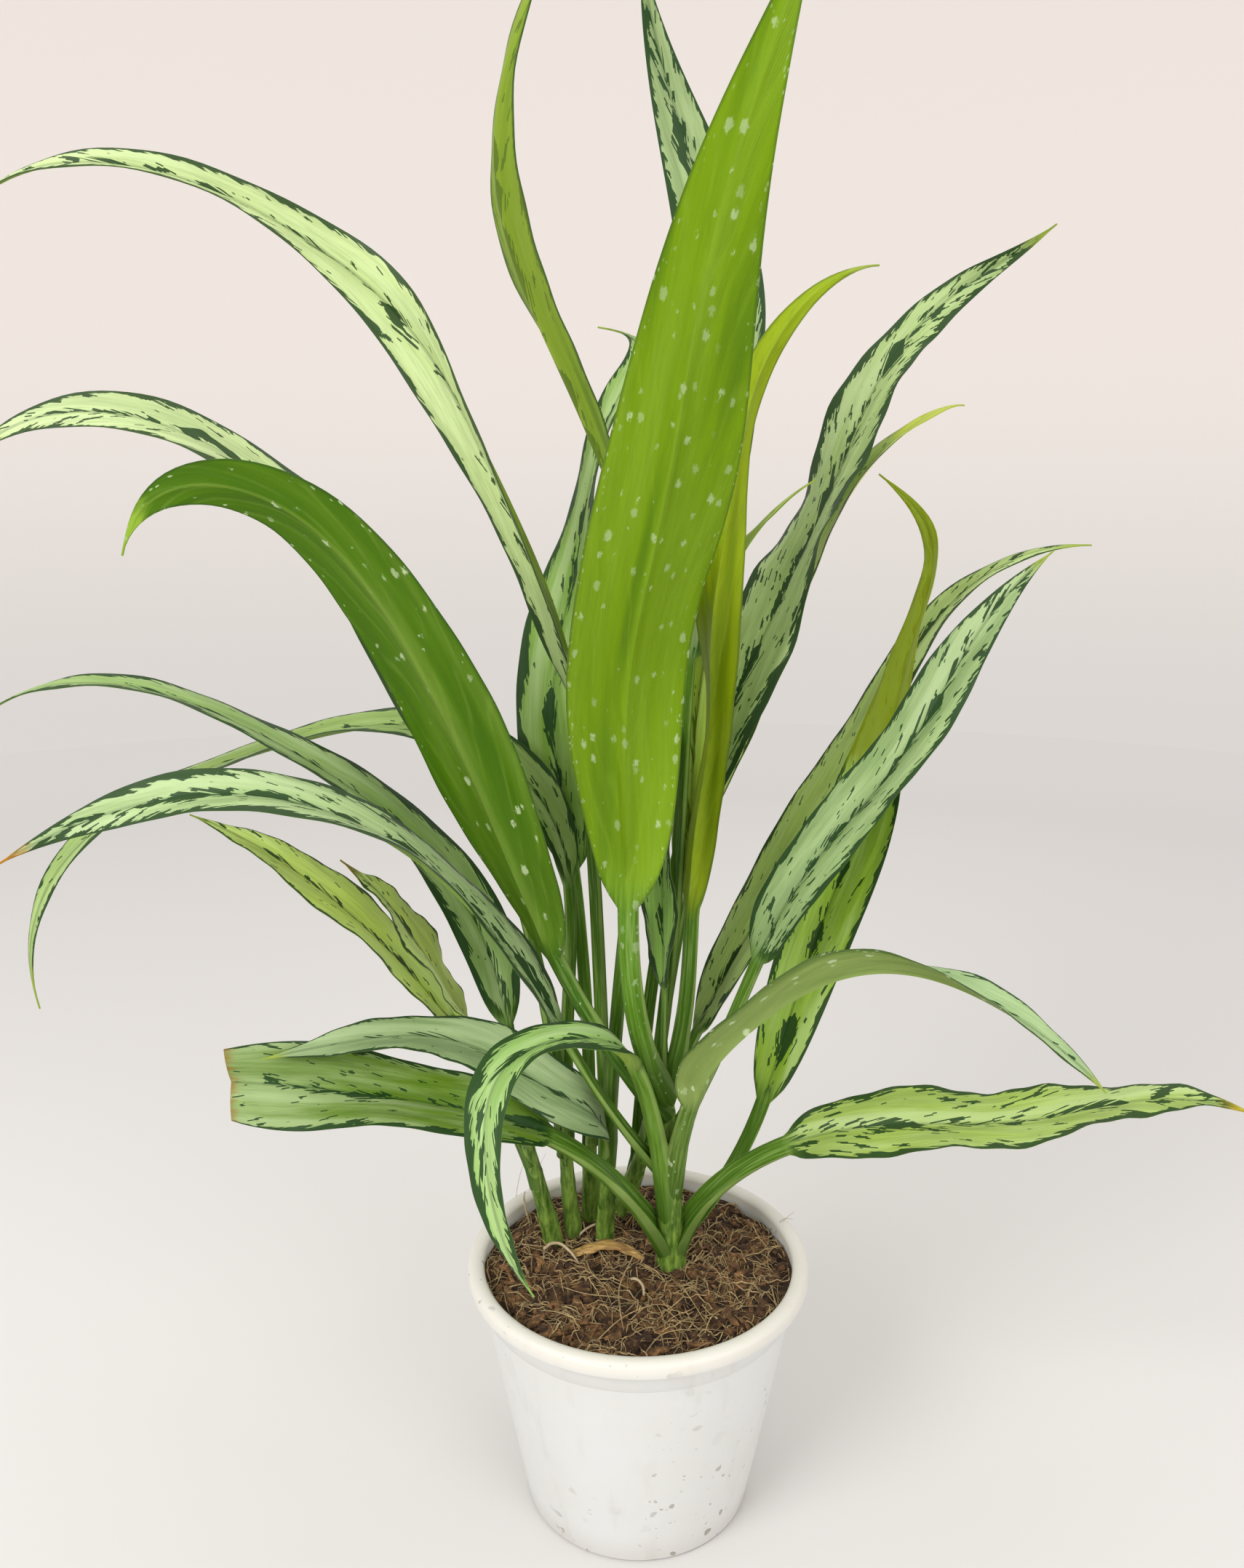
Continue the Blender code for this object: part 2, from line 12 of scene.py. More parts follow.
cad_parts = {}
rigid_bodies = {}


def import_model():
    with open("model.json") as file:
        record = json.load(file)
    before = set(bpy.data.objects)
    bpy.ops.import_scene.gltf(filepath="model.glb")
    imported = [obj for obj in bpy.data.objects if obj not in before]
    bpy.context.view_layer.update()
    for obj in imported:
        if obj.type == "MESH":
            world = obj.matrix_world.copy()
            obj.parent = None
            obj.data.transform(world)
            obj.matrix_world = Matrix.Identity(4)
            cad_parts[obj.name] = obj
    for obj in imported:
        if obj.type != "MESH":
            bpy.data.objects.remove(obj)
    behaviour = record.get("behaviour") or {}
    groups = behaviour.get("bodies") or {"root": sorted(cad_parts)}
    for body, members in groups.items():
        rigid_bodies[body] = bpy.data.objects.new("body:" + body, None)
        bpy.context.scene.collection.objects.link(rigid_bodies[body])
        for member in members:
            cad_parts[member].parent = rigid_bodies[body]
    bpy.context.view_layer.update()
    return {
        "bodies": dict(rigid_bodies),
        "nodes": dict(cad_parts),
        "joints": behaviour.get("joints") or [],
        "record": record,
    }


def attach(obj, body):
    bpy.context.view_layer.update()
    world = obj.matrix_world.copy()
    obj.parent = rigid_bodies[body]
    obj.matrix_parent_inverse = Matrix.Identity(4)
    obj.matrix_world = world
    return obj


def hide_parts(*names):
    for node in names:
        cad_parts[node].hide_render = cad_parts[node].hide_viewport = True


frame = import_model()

bl_info = {
    "name": "Potted aglaonema",
    "version": (1, 0, 0),
    "blender": (4, 5, 0),
    "location": "View3D > Sidebar > Aglaonema",
    "description": "Builds the leaves, canes, soil and pot of a potted aglaonema and its stage",
    "category": "Add Mesh",
}

MM = 0.001
UP = Vector((0.0, 0.0, 1.0))


def srgb(red, green, blue):
    """Linear colour from the 0 to 255 values that a paint program shows."""
    def linear(value):
        share = value / 255
        return share / 12.92 if share <= 0.04045 else ((share + 0.055) / 1.055) ** 2.4
    return (linear(red), linear(green), linear(blue))


# Canes, in millimetres: upright to CANE_STRAIGHT in a hole of the soil down to HOLE_FLOOR.
# GAP is the air between a piece and its neighbour.
CANE_STRAIGHT = 95.0
HOLE_FLOOR = 70.0
CANE_SIDES = 48
CANE_RINGS = 30
GAP = 0.3
# Free edges of the sheaths round a cane: turn at the foot and climb, in radians per millimetre
SHEATH_EDGES = ((-2.6, 0.045), (-0.4, -0.05), (1.9, 0.04))
EDGE_FADE = 3.0
Shoot = namedtuple("Shoot", "name foot middle top radius")
SHOOTS = (
    Shoot("front", foot=(13, 2), middle=(11, -3, 140), top=(9, -6, 175), radius=6.0),
    Shoot("back", foot=(-6, 38), middle=(2, 30, 125), top=(6, 26, 150), radius=4.4),
    Shoot("centre", foot=(-13, 18), middle=(-12, 12, 125), top=(-11, 8, 150), radius=4.0),
    Shoot("back_left", foot=(-19, 33), middle=(-19, 28, 125), top=(-18, 24, 150), radius=3.8),
    Shoot("left_inner", foot=(-26, 24), middle=(-28, 19, 125), top=(-30, 16, 150), radius=3.6),
    Shoot("left_outer", foot=(-34, 18), middle=(-39, 13, 120), top=(-44, 10, 145), radius=4.2),
)

# Leaves, with the same driving sizes as the solids: millimetres and degrees. The leans,
# headings and rolls are read at these places along the blade.
SHEATH = 28.0
LEAN_PLACES = (0.0, 0.35, 0.7, 1.0)
ROLL_PLACES = (0.0, 0.5, 1.0)
WIDEST = 0.4
Leaf = namedtuple(
    "Leaf",
    "name shoot attach petiole blade width lean heading roll "
    "stalk fold wave waves phase cut sheath",
    defaults=(2.4, 12, 0.8, 3.0, 0.0, 1.0, SHEATH),
)
LEAVES = (
    Leaf("front_tall", "front", 168, petiole=86, blade=288, width=40,
         lean=(40, 1, 28, 28, 18), heading=(-120, -70, -70, -5), roll=(15, -15, -65),
         stalk=3.6, fold=8, wave=0.6),
    Leaf("left_dark", "front", 160, petiole=81, blade=239, width=34,
         lean=(40, 25, 27, 50, 153), heading=(-155, -135, -165, -220), roll=(25, 30, 95),
         stalk=3.2, fold=8, wave=0.6),
    Leaf("left_high_arch", "centre", 116, petiole=199, blade=306, width=22,
         lean=(0, 14, 34, 71, 118), heading=(230, 145, 200, 145), roll=(-200, -75, -30), fold=26,
         sheath=44),
    Leaf("left_tall", "centre", 130, petiole=193, blade=224, width=28,
         lean=(12, 13, 23, 31, 24), heading=(-80, -175, -100, 10), roll=(-45, -5, -150), fold=14),
    Leaf("back_tall", "back", 140, petiole=187, blade=238, width=32,
         lean=(10, 4, 12, 19, 26), heading=(-35, 50, 175, 255), roll=(95, -35, -175)),
    Leaf("left_arch", "left_inner", 140, petiole=118, blade=270, width=32,
         lean=(5, 20, 34, 66, 131), heading=(-135, -200, -175, -190), roll=(-85, -15, -90)),
    Leaf("inner_broad", "back_left", 130, petiole=116, blade=228, width=30,
         lean=(0, 7, 16, 17, 81), heading=(195, 60, -5, 170), roll=(-105, 25, -5)),
    Leaf("right_upright", "front", 165, petiole=71, blade=250, width=18,
         lean=(19, 2, 21, 13, 83), heading=(30, -100, 0, 40), roll=(-160, -30, -145),
         stalk=2.8, fold=16, wave=0.6),
    Leaf("inner_slim", "back", 130, petiole=107, blade=168, width=24,
         lean=(23, 1, 3, 21, 61), heading=(-30, 5, 0, 15), roll=(55, 30, -5), sheath=32),
    Leaf("right_wavy", "back", 120, petiole=148, blade=280, width=32,
         lean=(0, 16, 34, 40, 73), heading=(-10, 40, 35, -70), roll=(90, -20, 140),
         wave=2.4, waves=3.5),
    Leaf("right_behind", "back", 105, petiole=124, blade=241, width=28,
         lean=(13, 11, 28, 30, 89), heading=(20, 30, -5, 55), roll=(-10, 10, 5)),
    Leaf("centre_small", "front", 172, petiole=35, blade=100, width=20,
         lean=(14, 11, 8, 10, 0), heading=(90, 95, 30, 5), roll=(-70, -45, 40), stalk=1.4,
         sheath=16),
    Leaf("right_silver", "front", 145, petiole=83, blade=175, width=28,
         lean=(27, 21, 40, 29, 51), heading=(-10, 5, 10, 5), roll=(50, 20, 85)),
    Leaf("right_back", "back", 115, petiole=66, blade=252, width=30,
         lean=(19, 24, 34, 33, 91), heading=(0, 20, 5, -5), roll=(25, 10, 25)),
    Leaf("right_hooked", "front", 104, petiole=66, blade=254, width=27,
         lean=(52, 19, 19, 15, 54), heading=(15, 5, 10, 185), roll=(55, 60, -125), fold=14,
         stalk=2.8),
    Leaf("right_arch", "front", 125, petiole=51, blade=180, width=26,
         lean=(18, 29, 53, 111, 139), heading=(-70, -10, -20, 10), roll=(10, -35, 65), fold=20,
         stalk=3.4),
    Leaf("right_low", "front", 97, petiole=72, blade=164, width=28,
         lean=(17, 59, 85, 78, 100), heading=(-20, -10, 0, -30), roll=(50, 15, 20),
         stalk=3.6, wave=1.8, waves=3.5, phase=40),
    Leaf("front_hanging", "front", 115, petiole=79, blade=141, width=18,
         lean=(13, 36, 93, 158, 152), heading=(-120, -145, -65, 20), roll=(-25, 10, 130),
         sheath=36, stalk=3.4),
    Leaf("left_cut", "front", 98, petiole=81, blade=116, width=32,
         lean=(27, 54, 82, 80, 92), heading=(-155, -185, -175, -190), roll=(-35, -20, -90),
         stalk=3.6, wave=0.6, waves=2.0, cut=0.6),
    Leaf("left_twisted", "centre", 110, petiole=41, blade=147, width=24,
         lean=(0, 36, 62, 84, 98), heading=(-95, -195, -155, -165), roll=(-75, -20, -45),
         sheath=42, wave=1.2),
    Leaf("left_long", "front", 132, petiole=80, blade=226, width=30,
         lean=(39, 28, 47, 95, 118), heading=(-155, -165, -185, -150), roll=(-35, -5, -100),
         stalk=2.1),
    Leaf("left_slim", "left_outer", 140, petiole=49, blade=255, width=26,
         lean=(8, 9, 46, 71, 126), heading=(170, 190, 185, 160), roll=(-70, -10, -15)),
    Leaf("left_drooping", "left_inner", 130, petiole=111, blade=297, width=22,
         lean=(0, 5, 95, 120, 192), heading=(200, 165, 200, 180), roll=(-70, -5, -55), sheath=42),
    Leaf("left_low", "left_outer", 130, petiole=63, blade=130, width=28,
         lean=(24, 40, 42, 56, 68), heading=(160, 185, 175, 180), roll=(0, -15, -10)),
    Leaf("left_small", "left_outer", 120, petiole=71, blade=83, width=24,
         lean=(13, 27, 27, 35, 52), heading=(-175, -160, -170, -180), roll=(5, -25, 0), sheath=36,
         wave=1.2),
    Leaf("new_rolled", "front", 172, petiole=34, blade=46, width=4,
         lean=(25, 10, 2, 0, 0), heading=(160, 160, 160, 160), roll=(0, 0, 0), stalk=2.2,
         sheath=20),
)

# Looks: colours as a paint program shows them, and how strongly each marking shows
SILVER = (163, 196, 137)
DARK = (26, 62, 26)
STEM = (84, 124, 40)
# The vein colour also paints the grey-green sheen of the underside's bands and base: painted sheen
Look = namedtuple(
    "Look",
    "top under silver vein stem margin flecks streak through chalk tip tip_start",
    defaults=(DARK, (118, 150, 78), SILVER, (150, 176, 80), STEM, 1.2, 0.5, 1.0, 0.15, 0.0,
              (164, 184, 96), 0.95),
)
# The greens of leaves that lie in shade, such as right_behind, centre_small, left_low and
# left_small, are raised to make up for that shade: painted light
LOOKS = {
    "front_tall": Look(silver=(160, 188, 112), under=(114, 150, 2), vein=(136, 170, 56),
                       stem=(96, 140, 44), through=0.04, chalk=0.75),
    "left_dark": Look(silver=(178, 200, 112), under=(76, 116, 4), vein=(138, 166, 84),
                      stem=(70, 114, 34), through=0.05, chalk=0.32, tip=(150, 184, 70),
                      tip_start=0.93),
    "left_high_arch": Look(silver=(204, 224, 156), under=(131, 159, 47), margin=1.6,
                           flecks=0.4, streak=0.8),
    "left_tall": Look(silver=(160, 186, 120), under=(130, 158, 52), vein=(150, 170, 90),
                      streak=1.6, through=0.5),
    "back_tall": Look(silver=(155, 179, 118), margin=2.2, flecks=0.65),
    "left_arch": Look(silver=(205, 225, 160), under=(137, 166, 87), margin=2.0, flecks=0.55,
                      streak=0.8),
    "inner_broad": Look(silver=(134, 172, 72), margin=2.8, flecks=0.55, streak=1.4),
    "right_upright": Look(silver=(163, 195, 137), under=(146, 168, 10), vein=(160, 186, 60),
                          through=0.1),
    "inner_slim": Look(top=(104, 128, 20), silver=(193, 221, 71), under=(160, 191, 30),
                       margin=0.8, flecks=0.2, streak=0.3),
    "right_wavy": Look(silver=(172, 198, 124), margin=3.2, flecks=0.75, streak=1.5),
    "right_behind": Look(silver=(214, 236, 124), under=(190, 214, 80), margin=1.0, flecks=0.35,
                         tip=(190, 202, 84), tip_start=0.82),
    "centre_small": Look(under=(147, 180, 81), silver=(159, 203, 100), margin=2.6, flecks=0.5,
                         streak=1.4),
    "right_silver": Look(silver=(156, 184, 120), margin=1.6, flecks=0.7, streak=1.4),
    "right_back": Look(silver=(190, 216, 126), under=(138, 171, 81), margin=1.3, flecks=0.55),
    "right_hooked": Look(silver=(154, 192, 60), under=(186, 200, 30), margin=1.3, flecks=0.5,
                         streak=1.5, through=0.1, tip=(140, 156, 30), tip_start=0.52),
    "right_arch": Look(silver=(158, 190, 130), under=(132, 154, 100), vein=(150, 172, 116),
                       stem=(104, 136, 70), margin=0.9, flecks=0.3, streak=0.4, through=0.04,
                       chalk=0.5),
    "right_low": Look(silver=(166, 192, 92), under=(135, 161, 78), margin=1.6, flecks=0.75,
                      tip=(196, 176, 60), tip_start=0.93),
    "front_hanging": Look(silver=(158, 198, 110), under=(150, 180, 112), stem=(106, 148, 58),
                          margin=2.6, flecks=0.4, streak=0.8, tip=(152, 190, 116)),
    "left_cut": Look(silver=(108, 142, 40), margin=1.5, flecks=0.75, tip=(150, 110, 50),
                     tip_start=0.985),
    "left_twisted": Look(silver=(152, 178, 124), under=(172, 192, 140), margin=0.9,
                         flecks=0.25, streak=0.3),
    "left_long": Look(silver=(176, 204, 140), margin=2.6, flecks=0.85, streak=1.2,
                      tip=(200, 136, 48), tip_start=0.965),
    "left_slim": Look(silver=(150, 182, 104), under=(138, 168, 81), margin=2.4, flecks=0.25,
                      streak=0.4),
    "left_drooping": Look(silver=(156, 186, 100), margin=1.6, flecks=0.3, streak=0.5),
    "left_low": Look(silver=(208, 230, 112), under=(176, 206, 100), margin=1.0, flecks=0.35,
                     streak=0.5),
    "left_small": Look(silver=(214, 234, 120), under=(180, 206, 90), margin=1.0, flecks=0.4,
                       tip=(140, 120, 50), tip_start=0.9),
    "new_rolled": Look(top=(170, 196, 60), under=(166, 200, 40), stem=(140, 178, 50)),
}

# Mesh and section of a leaf, in millimetres where they are sizes
ROUND_COLUMNS = 8
PETIOLE_STEPS = 16
BLADE_STEPS = 72
HALF_THICKNESS = 0.32
EDGE_THICKNESS = 0.16
TIP_HALF_WIDTH = 0.3
BLEND_REACH = 0.07
SHEATH_SWELL = 0.45
STATION_ROOM = 0.6

# Pot and soil, in millimetres
POT_HEIGHT = 100.0
RIM_RADIUS = 65.0
MOUTH_RADIUS = 58.8
NECK_RADIUS = 60.9
BASE_RADIUS = 43.4
LIP_HEIGHT = 6.2
WALL = 1.6
FOOT_HEIGHT = 1.0
FOOT_WIDTH = 3.0
PAD_RADIUS = 14.0
DRAIN_HOLES = 5
DRAIN_RADIUS = 4.0
DRAIN_CIRCLE = 27.0
PROFILE_STEPS = 12
INSIDE_STEPS = 8
SOIL_LEVEL = 93.0
SOIL_RELIEF = 0.96
SOIL_SIDES = 160
SOIL_RINGS = 64
FIBRE_POINTS = 10

# Section of a husk chip, in shares of its breadth and its thickness
CHIP_SECTION = ((-0.5, -0.5), (0.0, -0.5), (0.5, -0.4), (0.5, 0.4), (0.0, 0.6), (-0.5, 0.4))

# Stage, in millimetres: a cove turns the floor up into the wall in COVE_STEPS steps, and the
# wall is a piece of its own from point WALL_START of the outline
FLOOR_RADIUS = 1200.0
COVE_RADIUS = 700.0
WALL_TOP = 2300.0
STAGE_SIDES = 96
COVE_STEPS = 12
WALL_START = 4


# ---------------------------------------------------------------- settings

class PotSettings(PropertyGroup):
    """Sizes and colour of the pot."""
    sides: IntProperty(name="Sides", description="Facets round the pot", default=144, min=24)
    plastic: FloatVectorProperty(name="Plastic", description="Colour of the moulded plastic",
                                 subtype="COLOR", default=srgb(216, 217, 216))
    grime: FloatVectorProperty(name="Grime", description="Colour of the dirt in the scuffs",
                               subtype="COLOR", default=srgb(120, 110, 96))
    step_drop: FloatProperty(name="Step drop", description="Height of the step under the rim",
                             default=0.009, unit="LENGTH")


class SoilSettings(PropertyGroup):
    """Make-up of the coir."""
    fibres: IntProperty(name="Fibres", description="Loose coir fibres on the soil", default=1000)
    husks: IntProperty(name="Husk chips", description="Chips of coconut husk", default=210)
    crumbs: IntProperty(name="Crumbs", description="Crumbs of coir pith", default=1100)
    seed: IntProperty(name="Seed", description="Start of the random draws", default=7)
    dark: FloatVectorProperty(name="Dark coir", description="Colour deep in the coir",
                              subtype="COLOR", default=srgb(46, 29, 17))
    light: FloatVectorProperty(name="Light coir", description="Colour of the coir's top",
                               subtype="COLOR", default=srgb(118, 86, 46))


class LeafSettings(PropertyGroup):
    """Finish that all the leaves share."""
    roughness: FloatProperty(name="Roughness", description="Roughness of the leaf's skin",
                             default=0.38, min=0, max=1)
    glow: FloatProperty(name="Glow", description="Share of light that passes through a blade",
                        default=0.22, min=0, max=1)
    brightness: FloatProperty(name="Brightness", description="Factor on the greens", default=1.06)
    yellowness: FloatProperty(name="Yellowness",
                              description="Share of blue taken out of the plain greens",
                              default=0.35, min=0, max=1)
    vein_angle: FloatProperty(name="Vein angle", description="Angle of the flecks to the midrib",
                              default=math.radians(11), subtype="ANGLE")


class StageSettings(PropertyGroup):
    """Floor, lights and camera."""
    floor: FloatVectorProperty(name="Floor", description="Colour of the floor", subtype="COLOR",
                               default=srgb(215, 214, 212))
    wall: FloatVectorProperty(name="Wall", description="Colour of the wall behind", subtype="COLOR",
                              default=srgb(238, 232, 228))
    air: FloatVectorProperty(name="Air", description="Colour of the light from all round",
                             subtype="COLOR", default=srgb(234, 229, 226))
    lens: FloatProperty(name="Lens", description="Focal length on a 36 mm sensor", default=28.39)
    tilt: FloatProperty(name="Tilt", description="How far the camera looks down",
                        default=math.radians(12.7), subtype="ANGLE")
    place: FloatVectorProperty(name="Place", description="Where the camera stands",
                               subtype="TRANSLATION", default=(-0.0062, -0.425, 0.380))


# ---------------------------------------------------------------- shader nodes

def sum_of(operation, swapped=False):
    """Method of Value that adds one Math node."""
    def method(self, *others):
        values = (*others, self) if swapped else (self, *others)
        return self.wiring.sum(operation, *values)
    return method


class Value:
    """Output of a node, ready for plain sums with numbers and other outputs."""

    def __init__(self, wiring, socket):
        self.wiring = wiring
        self.socket = socket

    __add__ = __radd__ = sum_of("ADD")
    __sub__ = sum_of("SUBTRACT")
    __rsub__ = sum_of("SUBTRACT", swapped=True)
    __mul__ = __rmul__ = sum_of("MULTIPLY")
    __truediv__ = sum_of("DIVIDE")
    __pow__ = sum_of("POWER")
    __abs__ = sum_of("ABSOLUTE")
    sign = sum_of("SIGN")
    floor = sum_of("FLOOR")
    fraction = sum_of("FRACT")
    or_more = sum_of("MAXIMUM")


class Wiring:
    """Adds nodes to one node tree and joins them."""

    def __init__(self, tree):
        self.tree = tree

    def feed(self, socket, value):
        """Join a value to a socket, or set the socket to a plain number or colour."""
        if isinstance(value, Value):
            self.tree.links.new(value.socket, socket)
        else:
            plain = socket.type == "RGBA" and len(value) == 3
            socket.default_value = (*value, 1.0) if plain else value

    def node(self, kind, inputs=(), **settings):
        """New node with its settings and its inputs, by name, by number or in order."""
        made = self.tree.nodes.new(kind)
        for name, value in settings.items():
            setattr(made, name, value)
        for key, value in inputs.items() if isinstance(inputs, dict) else enumerate(inputs):
            self.feed(made.inputs[key], value)
        return made

    def value(self, made, key=0):
        return Value(self, made.outputs[key])

    def sum(self, operation, *values):
        return self.value(self.node("ShaderNodeMath", values, operation=operation))

    def step(self, value, low, high, start=0.0, end=1.0):
        """Smooth step of a value from low to high."""
        places = (value, low, high, start, end)
        return self.value(self.node("ShaderNodeMapRange", places, interpolation_type="SMOOTHSTEP"))

    def mix(self, share, first, second):
        """Colour between two colours."""
        inputs = {0: share, 6: first, 7: second}
        return self.value(self.node("ShaderNodeMix", inputs, data_type="RGBA"), 2)

    def join(self, *parts):
        return self.value(self.node("ShaderNodeCombineXYZ", parts))

    def split(self, vector):
        made = self.node("ShaderNodeSeparateXYZ", (vector,))
        return [Value(self, socket) for socket in made.outputs]

    def attribute(self, name, output="Vector"):
        return self.value(self.node("ShaderNodeAttribute", attribute_name=name), output)

    def place(self):
        """Point on the object."""
        return self.value(self.node("ShaderNodeTexCoord"), "Object")

    def millimetres(self):
        """The point's three coordinates in metres, and its height in millimetres."""
        x, y, z = self.split(self.place())
        return x, y, z, z * 1000.0

    def noise(self, vector, scale=1.0, detail=2.0, roughness=0.5, output="Fac"):
        """Noise at a point, or at three values."""
        if isinstance(vector, tuple):
            vector = self.join(*vector)
        inputs = {"Vector": vector, "Scale": scale, "Detail": detail, "Roughness": roughness}
        return self.value(self.node("ShaderNodeTexNoise", inputs), output)

    def cells(self, vector, scale=1.0):
        """Distance to the nearest cell's point and three random numbers of that cell."""
        made = self.node("ShaderNodeTexVoronoi", {"Vector": vector, "Scale": scale}, feature="F1")
        return self.value(made, "Distance"), self.split(self.value(made, "Color"))

    def leaf_places(self):
        """Where a point is on its leaf, as the mesh tells it; the first three in millimetres."""
        length, across, reach = self.split(self.attribute("leaf_place"))
        column, upper, edge = self.split(self.attribute("leaf_part"))
        return length * 1000.0, across * 1000.0, edge * 1000.0, reach, column, upper


def new_group(name, inputs, outputs):
    """Empty shader group, its wiring, its inputs as values and its result's sockets."""
    group = bpy.data.node_groups.new(name, "ShaderNodeTree")
    for in_out, sockets in (("INPUT", inputs), ("OUTPUT", outputs)):
        for label, kind in sockets:
            group.interface.new_socket(label, in_out=in_out, socket_type=kind)
    w = Wiring(group)
    entry = w.node("NodeGroupInput")
    given = {label: w.value(entry, label) for label, kind in inputs}
    return group, w, given, w.node("NodeGroupOutput").inputs


def new_material(name, roughness=0.5, colour=(0.5, 0.5, 0.5)):
    """Material with a Principled shader, its wiring and the shader."""
    material = bpy.data.materials.new(name)
    material.use_nodes = True
    material.diffuse_color = (*colour, 1.0)
    shader = material.node_tree.nodes["Principled BSDF"]
    shader.inputs["Roughness"].default_value = roughness
    return material, Wiring(material.node_tree), shader


def coat(w, shader, colour, height=None):
    """Feed a colour, and a relief in millimetres through a Bump node, to the shader."""
    w.feed(shader.inputs["Base Color"], colour)
    if height is not None:
        bump = w.node("ShaderNodeBump", {"Strength": 1.0, "Distance": MM, "Height": height})
        w.feed(shader.inputs["Normal"], w.value(bump))


FLOAT, COLOUR = "NodeSocketFloat", "NodeSocketColor"
LEAF_COLOURS = ("Top", "Silver", "Under", "Vein", "Stem", "Tip")
LEAF_NUMBERS = ("Margin", "Flecks", "Streak", "Through", "Chalk", "Tip Start")
MARKING_NUMBERS = ("Seed", "Margin", "Flecks", "Streak")
STRIP_WIDTH = 0.42


def leaf_markings_group(vein_angle):
    """Dark margin, midrib streak and flecks of the upper side, as one mask."""
    inputs = [(label, FLOAT) for label in MARKING_NUMBERS]
    outputs = (("Mask", FLOAT), ("Grain", FLOAT))
    group, w, given, result = new_group("leaf markings", inputs, outputs)
    length, across, edge, reach, column, upper = w.leaf_places()
    far = abs(across)
    side = across.sign() * 4.7
    seed = given["Seed"] + side
    along = length * math.cos(vein_angle) + far * math.sin(vein_angle)
    over = far * math.cos(vein_angle) - length * math.sin(vein_angle)
    # A marking starts and ends at another place in each narrow strip between two fine veins
    strip = (over / STRIP_WIDTH).floor()
    draw = w.node("ShaderNodeTexWhiteNoise", noise_dimensions="1D")
    w.feed(draw.inputs["W"], strip + seed)
    start = w.value(draw, "Value") - 0.5
    along = along + start * 3.4
    grain = w.noise((along / 8.0, strip * 0.30, seed), 1.0, 1.0, 0.4)
    area = w.noise((length / 32.0, far / 6.0, seed), 1.0, 1.0)
    # Flecks, denser where the slow noise is high, near the margin and beside the midrib
    lift = w.step(edge, 5.0, 0.5, 0.0, 0.17) + w.step(far, 4.0, 0.8, 0.0, 0.13) + area * 0.26
    level = 0.76 - given["Flecks"] * lift * w.step(reach, 1.05, 0.8, 0.5, 1.0)
    flecks = w.step(grain, level, level + 0.02)
    # Margin that swells and thins along the blade
    slow = w.noise((along / 14.0, side, given["Seed"]))
    wide = (slow**2.0 * 3.4 + 0.1 + start * 0.8) * w.step(reach, 1.0, 0.6, 0.25, 1.0)
    margin = w.step((given["Margin"] * wide).or_more(0.35) - edge, -0.1, 0.1)
    # Streak that comes and goes beside the midrib
    drift = w.noise((length / 40.0, 3.0, given["Seed"]), 1.0, 1.0)
    pulse = w.noise((along / 17.0, 9.0, given["Seed"]))
    fade = w.step(reach, 1.0, 0.7)
    half = given["Streak"] * ((pulse - 0.47) * 13.0) + start * 1.8
    half = half * fade - (1.0 - fade)
    streak = w.step(half - abs(across - (drift - 0.5) * 9.0), -0.1, 0.1)
    mask = flecks.or_more(margin).or_more(streak)
    w.feed(result["Mask"], mask * w.step(reach, 0.0, 0.02))
    w.feed(result["Grain"], grain)
    return group


def dried_spots(w, length, across, edge, seed, amount):
    """Mask of dried white drops: round ones over the blade and short ticks at its margin."""
    masks = []
    for long, wide, most, limit in ((6.0, 3.4, 0.34, None), (2.4, 0.9, 0.36, 2.6)):
        distance, draws = w.cells(w.join(length / long, across / wide, seed))
        ragged = w.noise((length / 1.1, across / 0.6, seed), 1.0, 3.0)
        size = draws[1] * most
        inside = w.step(distance + (ragged - 0.4) * 0.5, size + 0.10, size - 0.04)
        rare = 1.0 - amount
        mask = inside * w.step(draws[0], rare, rare + 0.02) * w.step(draws[2], 0.0, 1.0, 0.25, 1.0)
        masks.append(mask * w.step(edge, limit, limit * 0.6) if limit else mask)
    return masks[0].or_more(masks[1])


def layered(w, colour, *layers):
    """Mix colours over one another, each by its mask."""
    for mask, over in layers:
        colour = w.mix(mask, colour, over)
    return colour


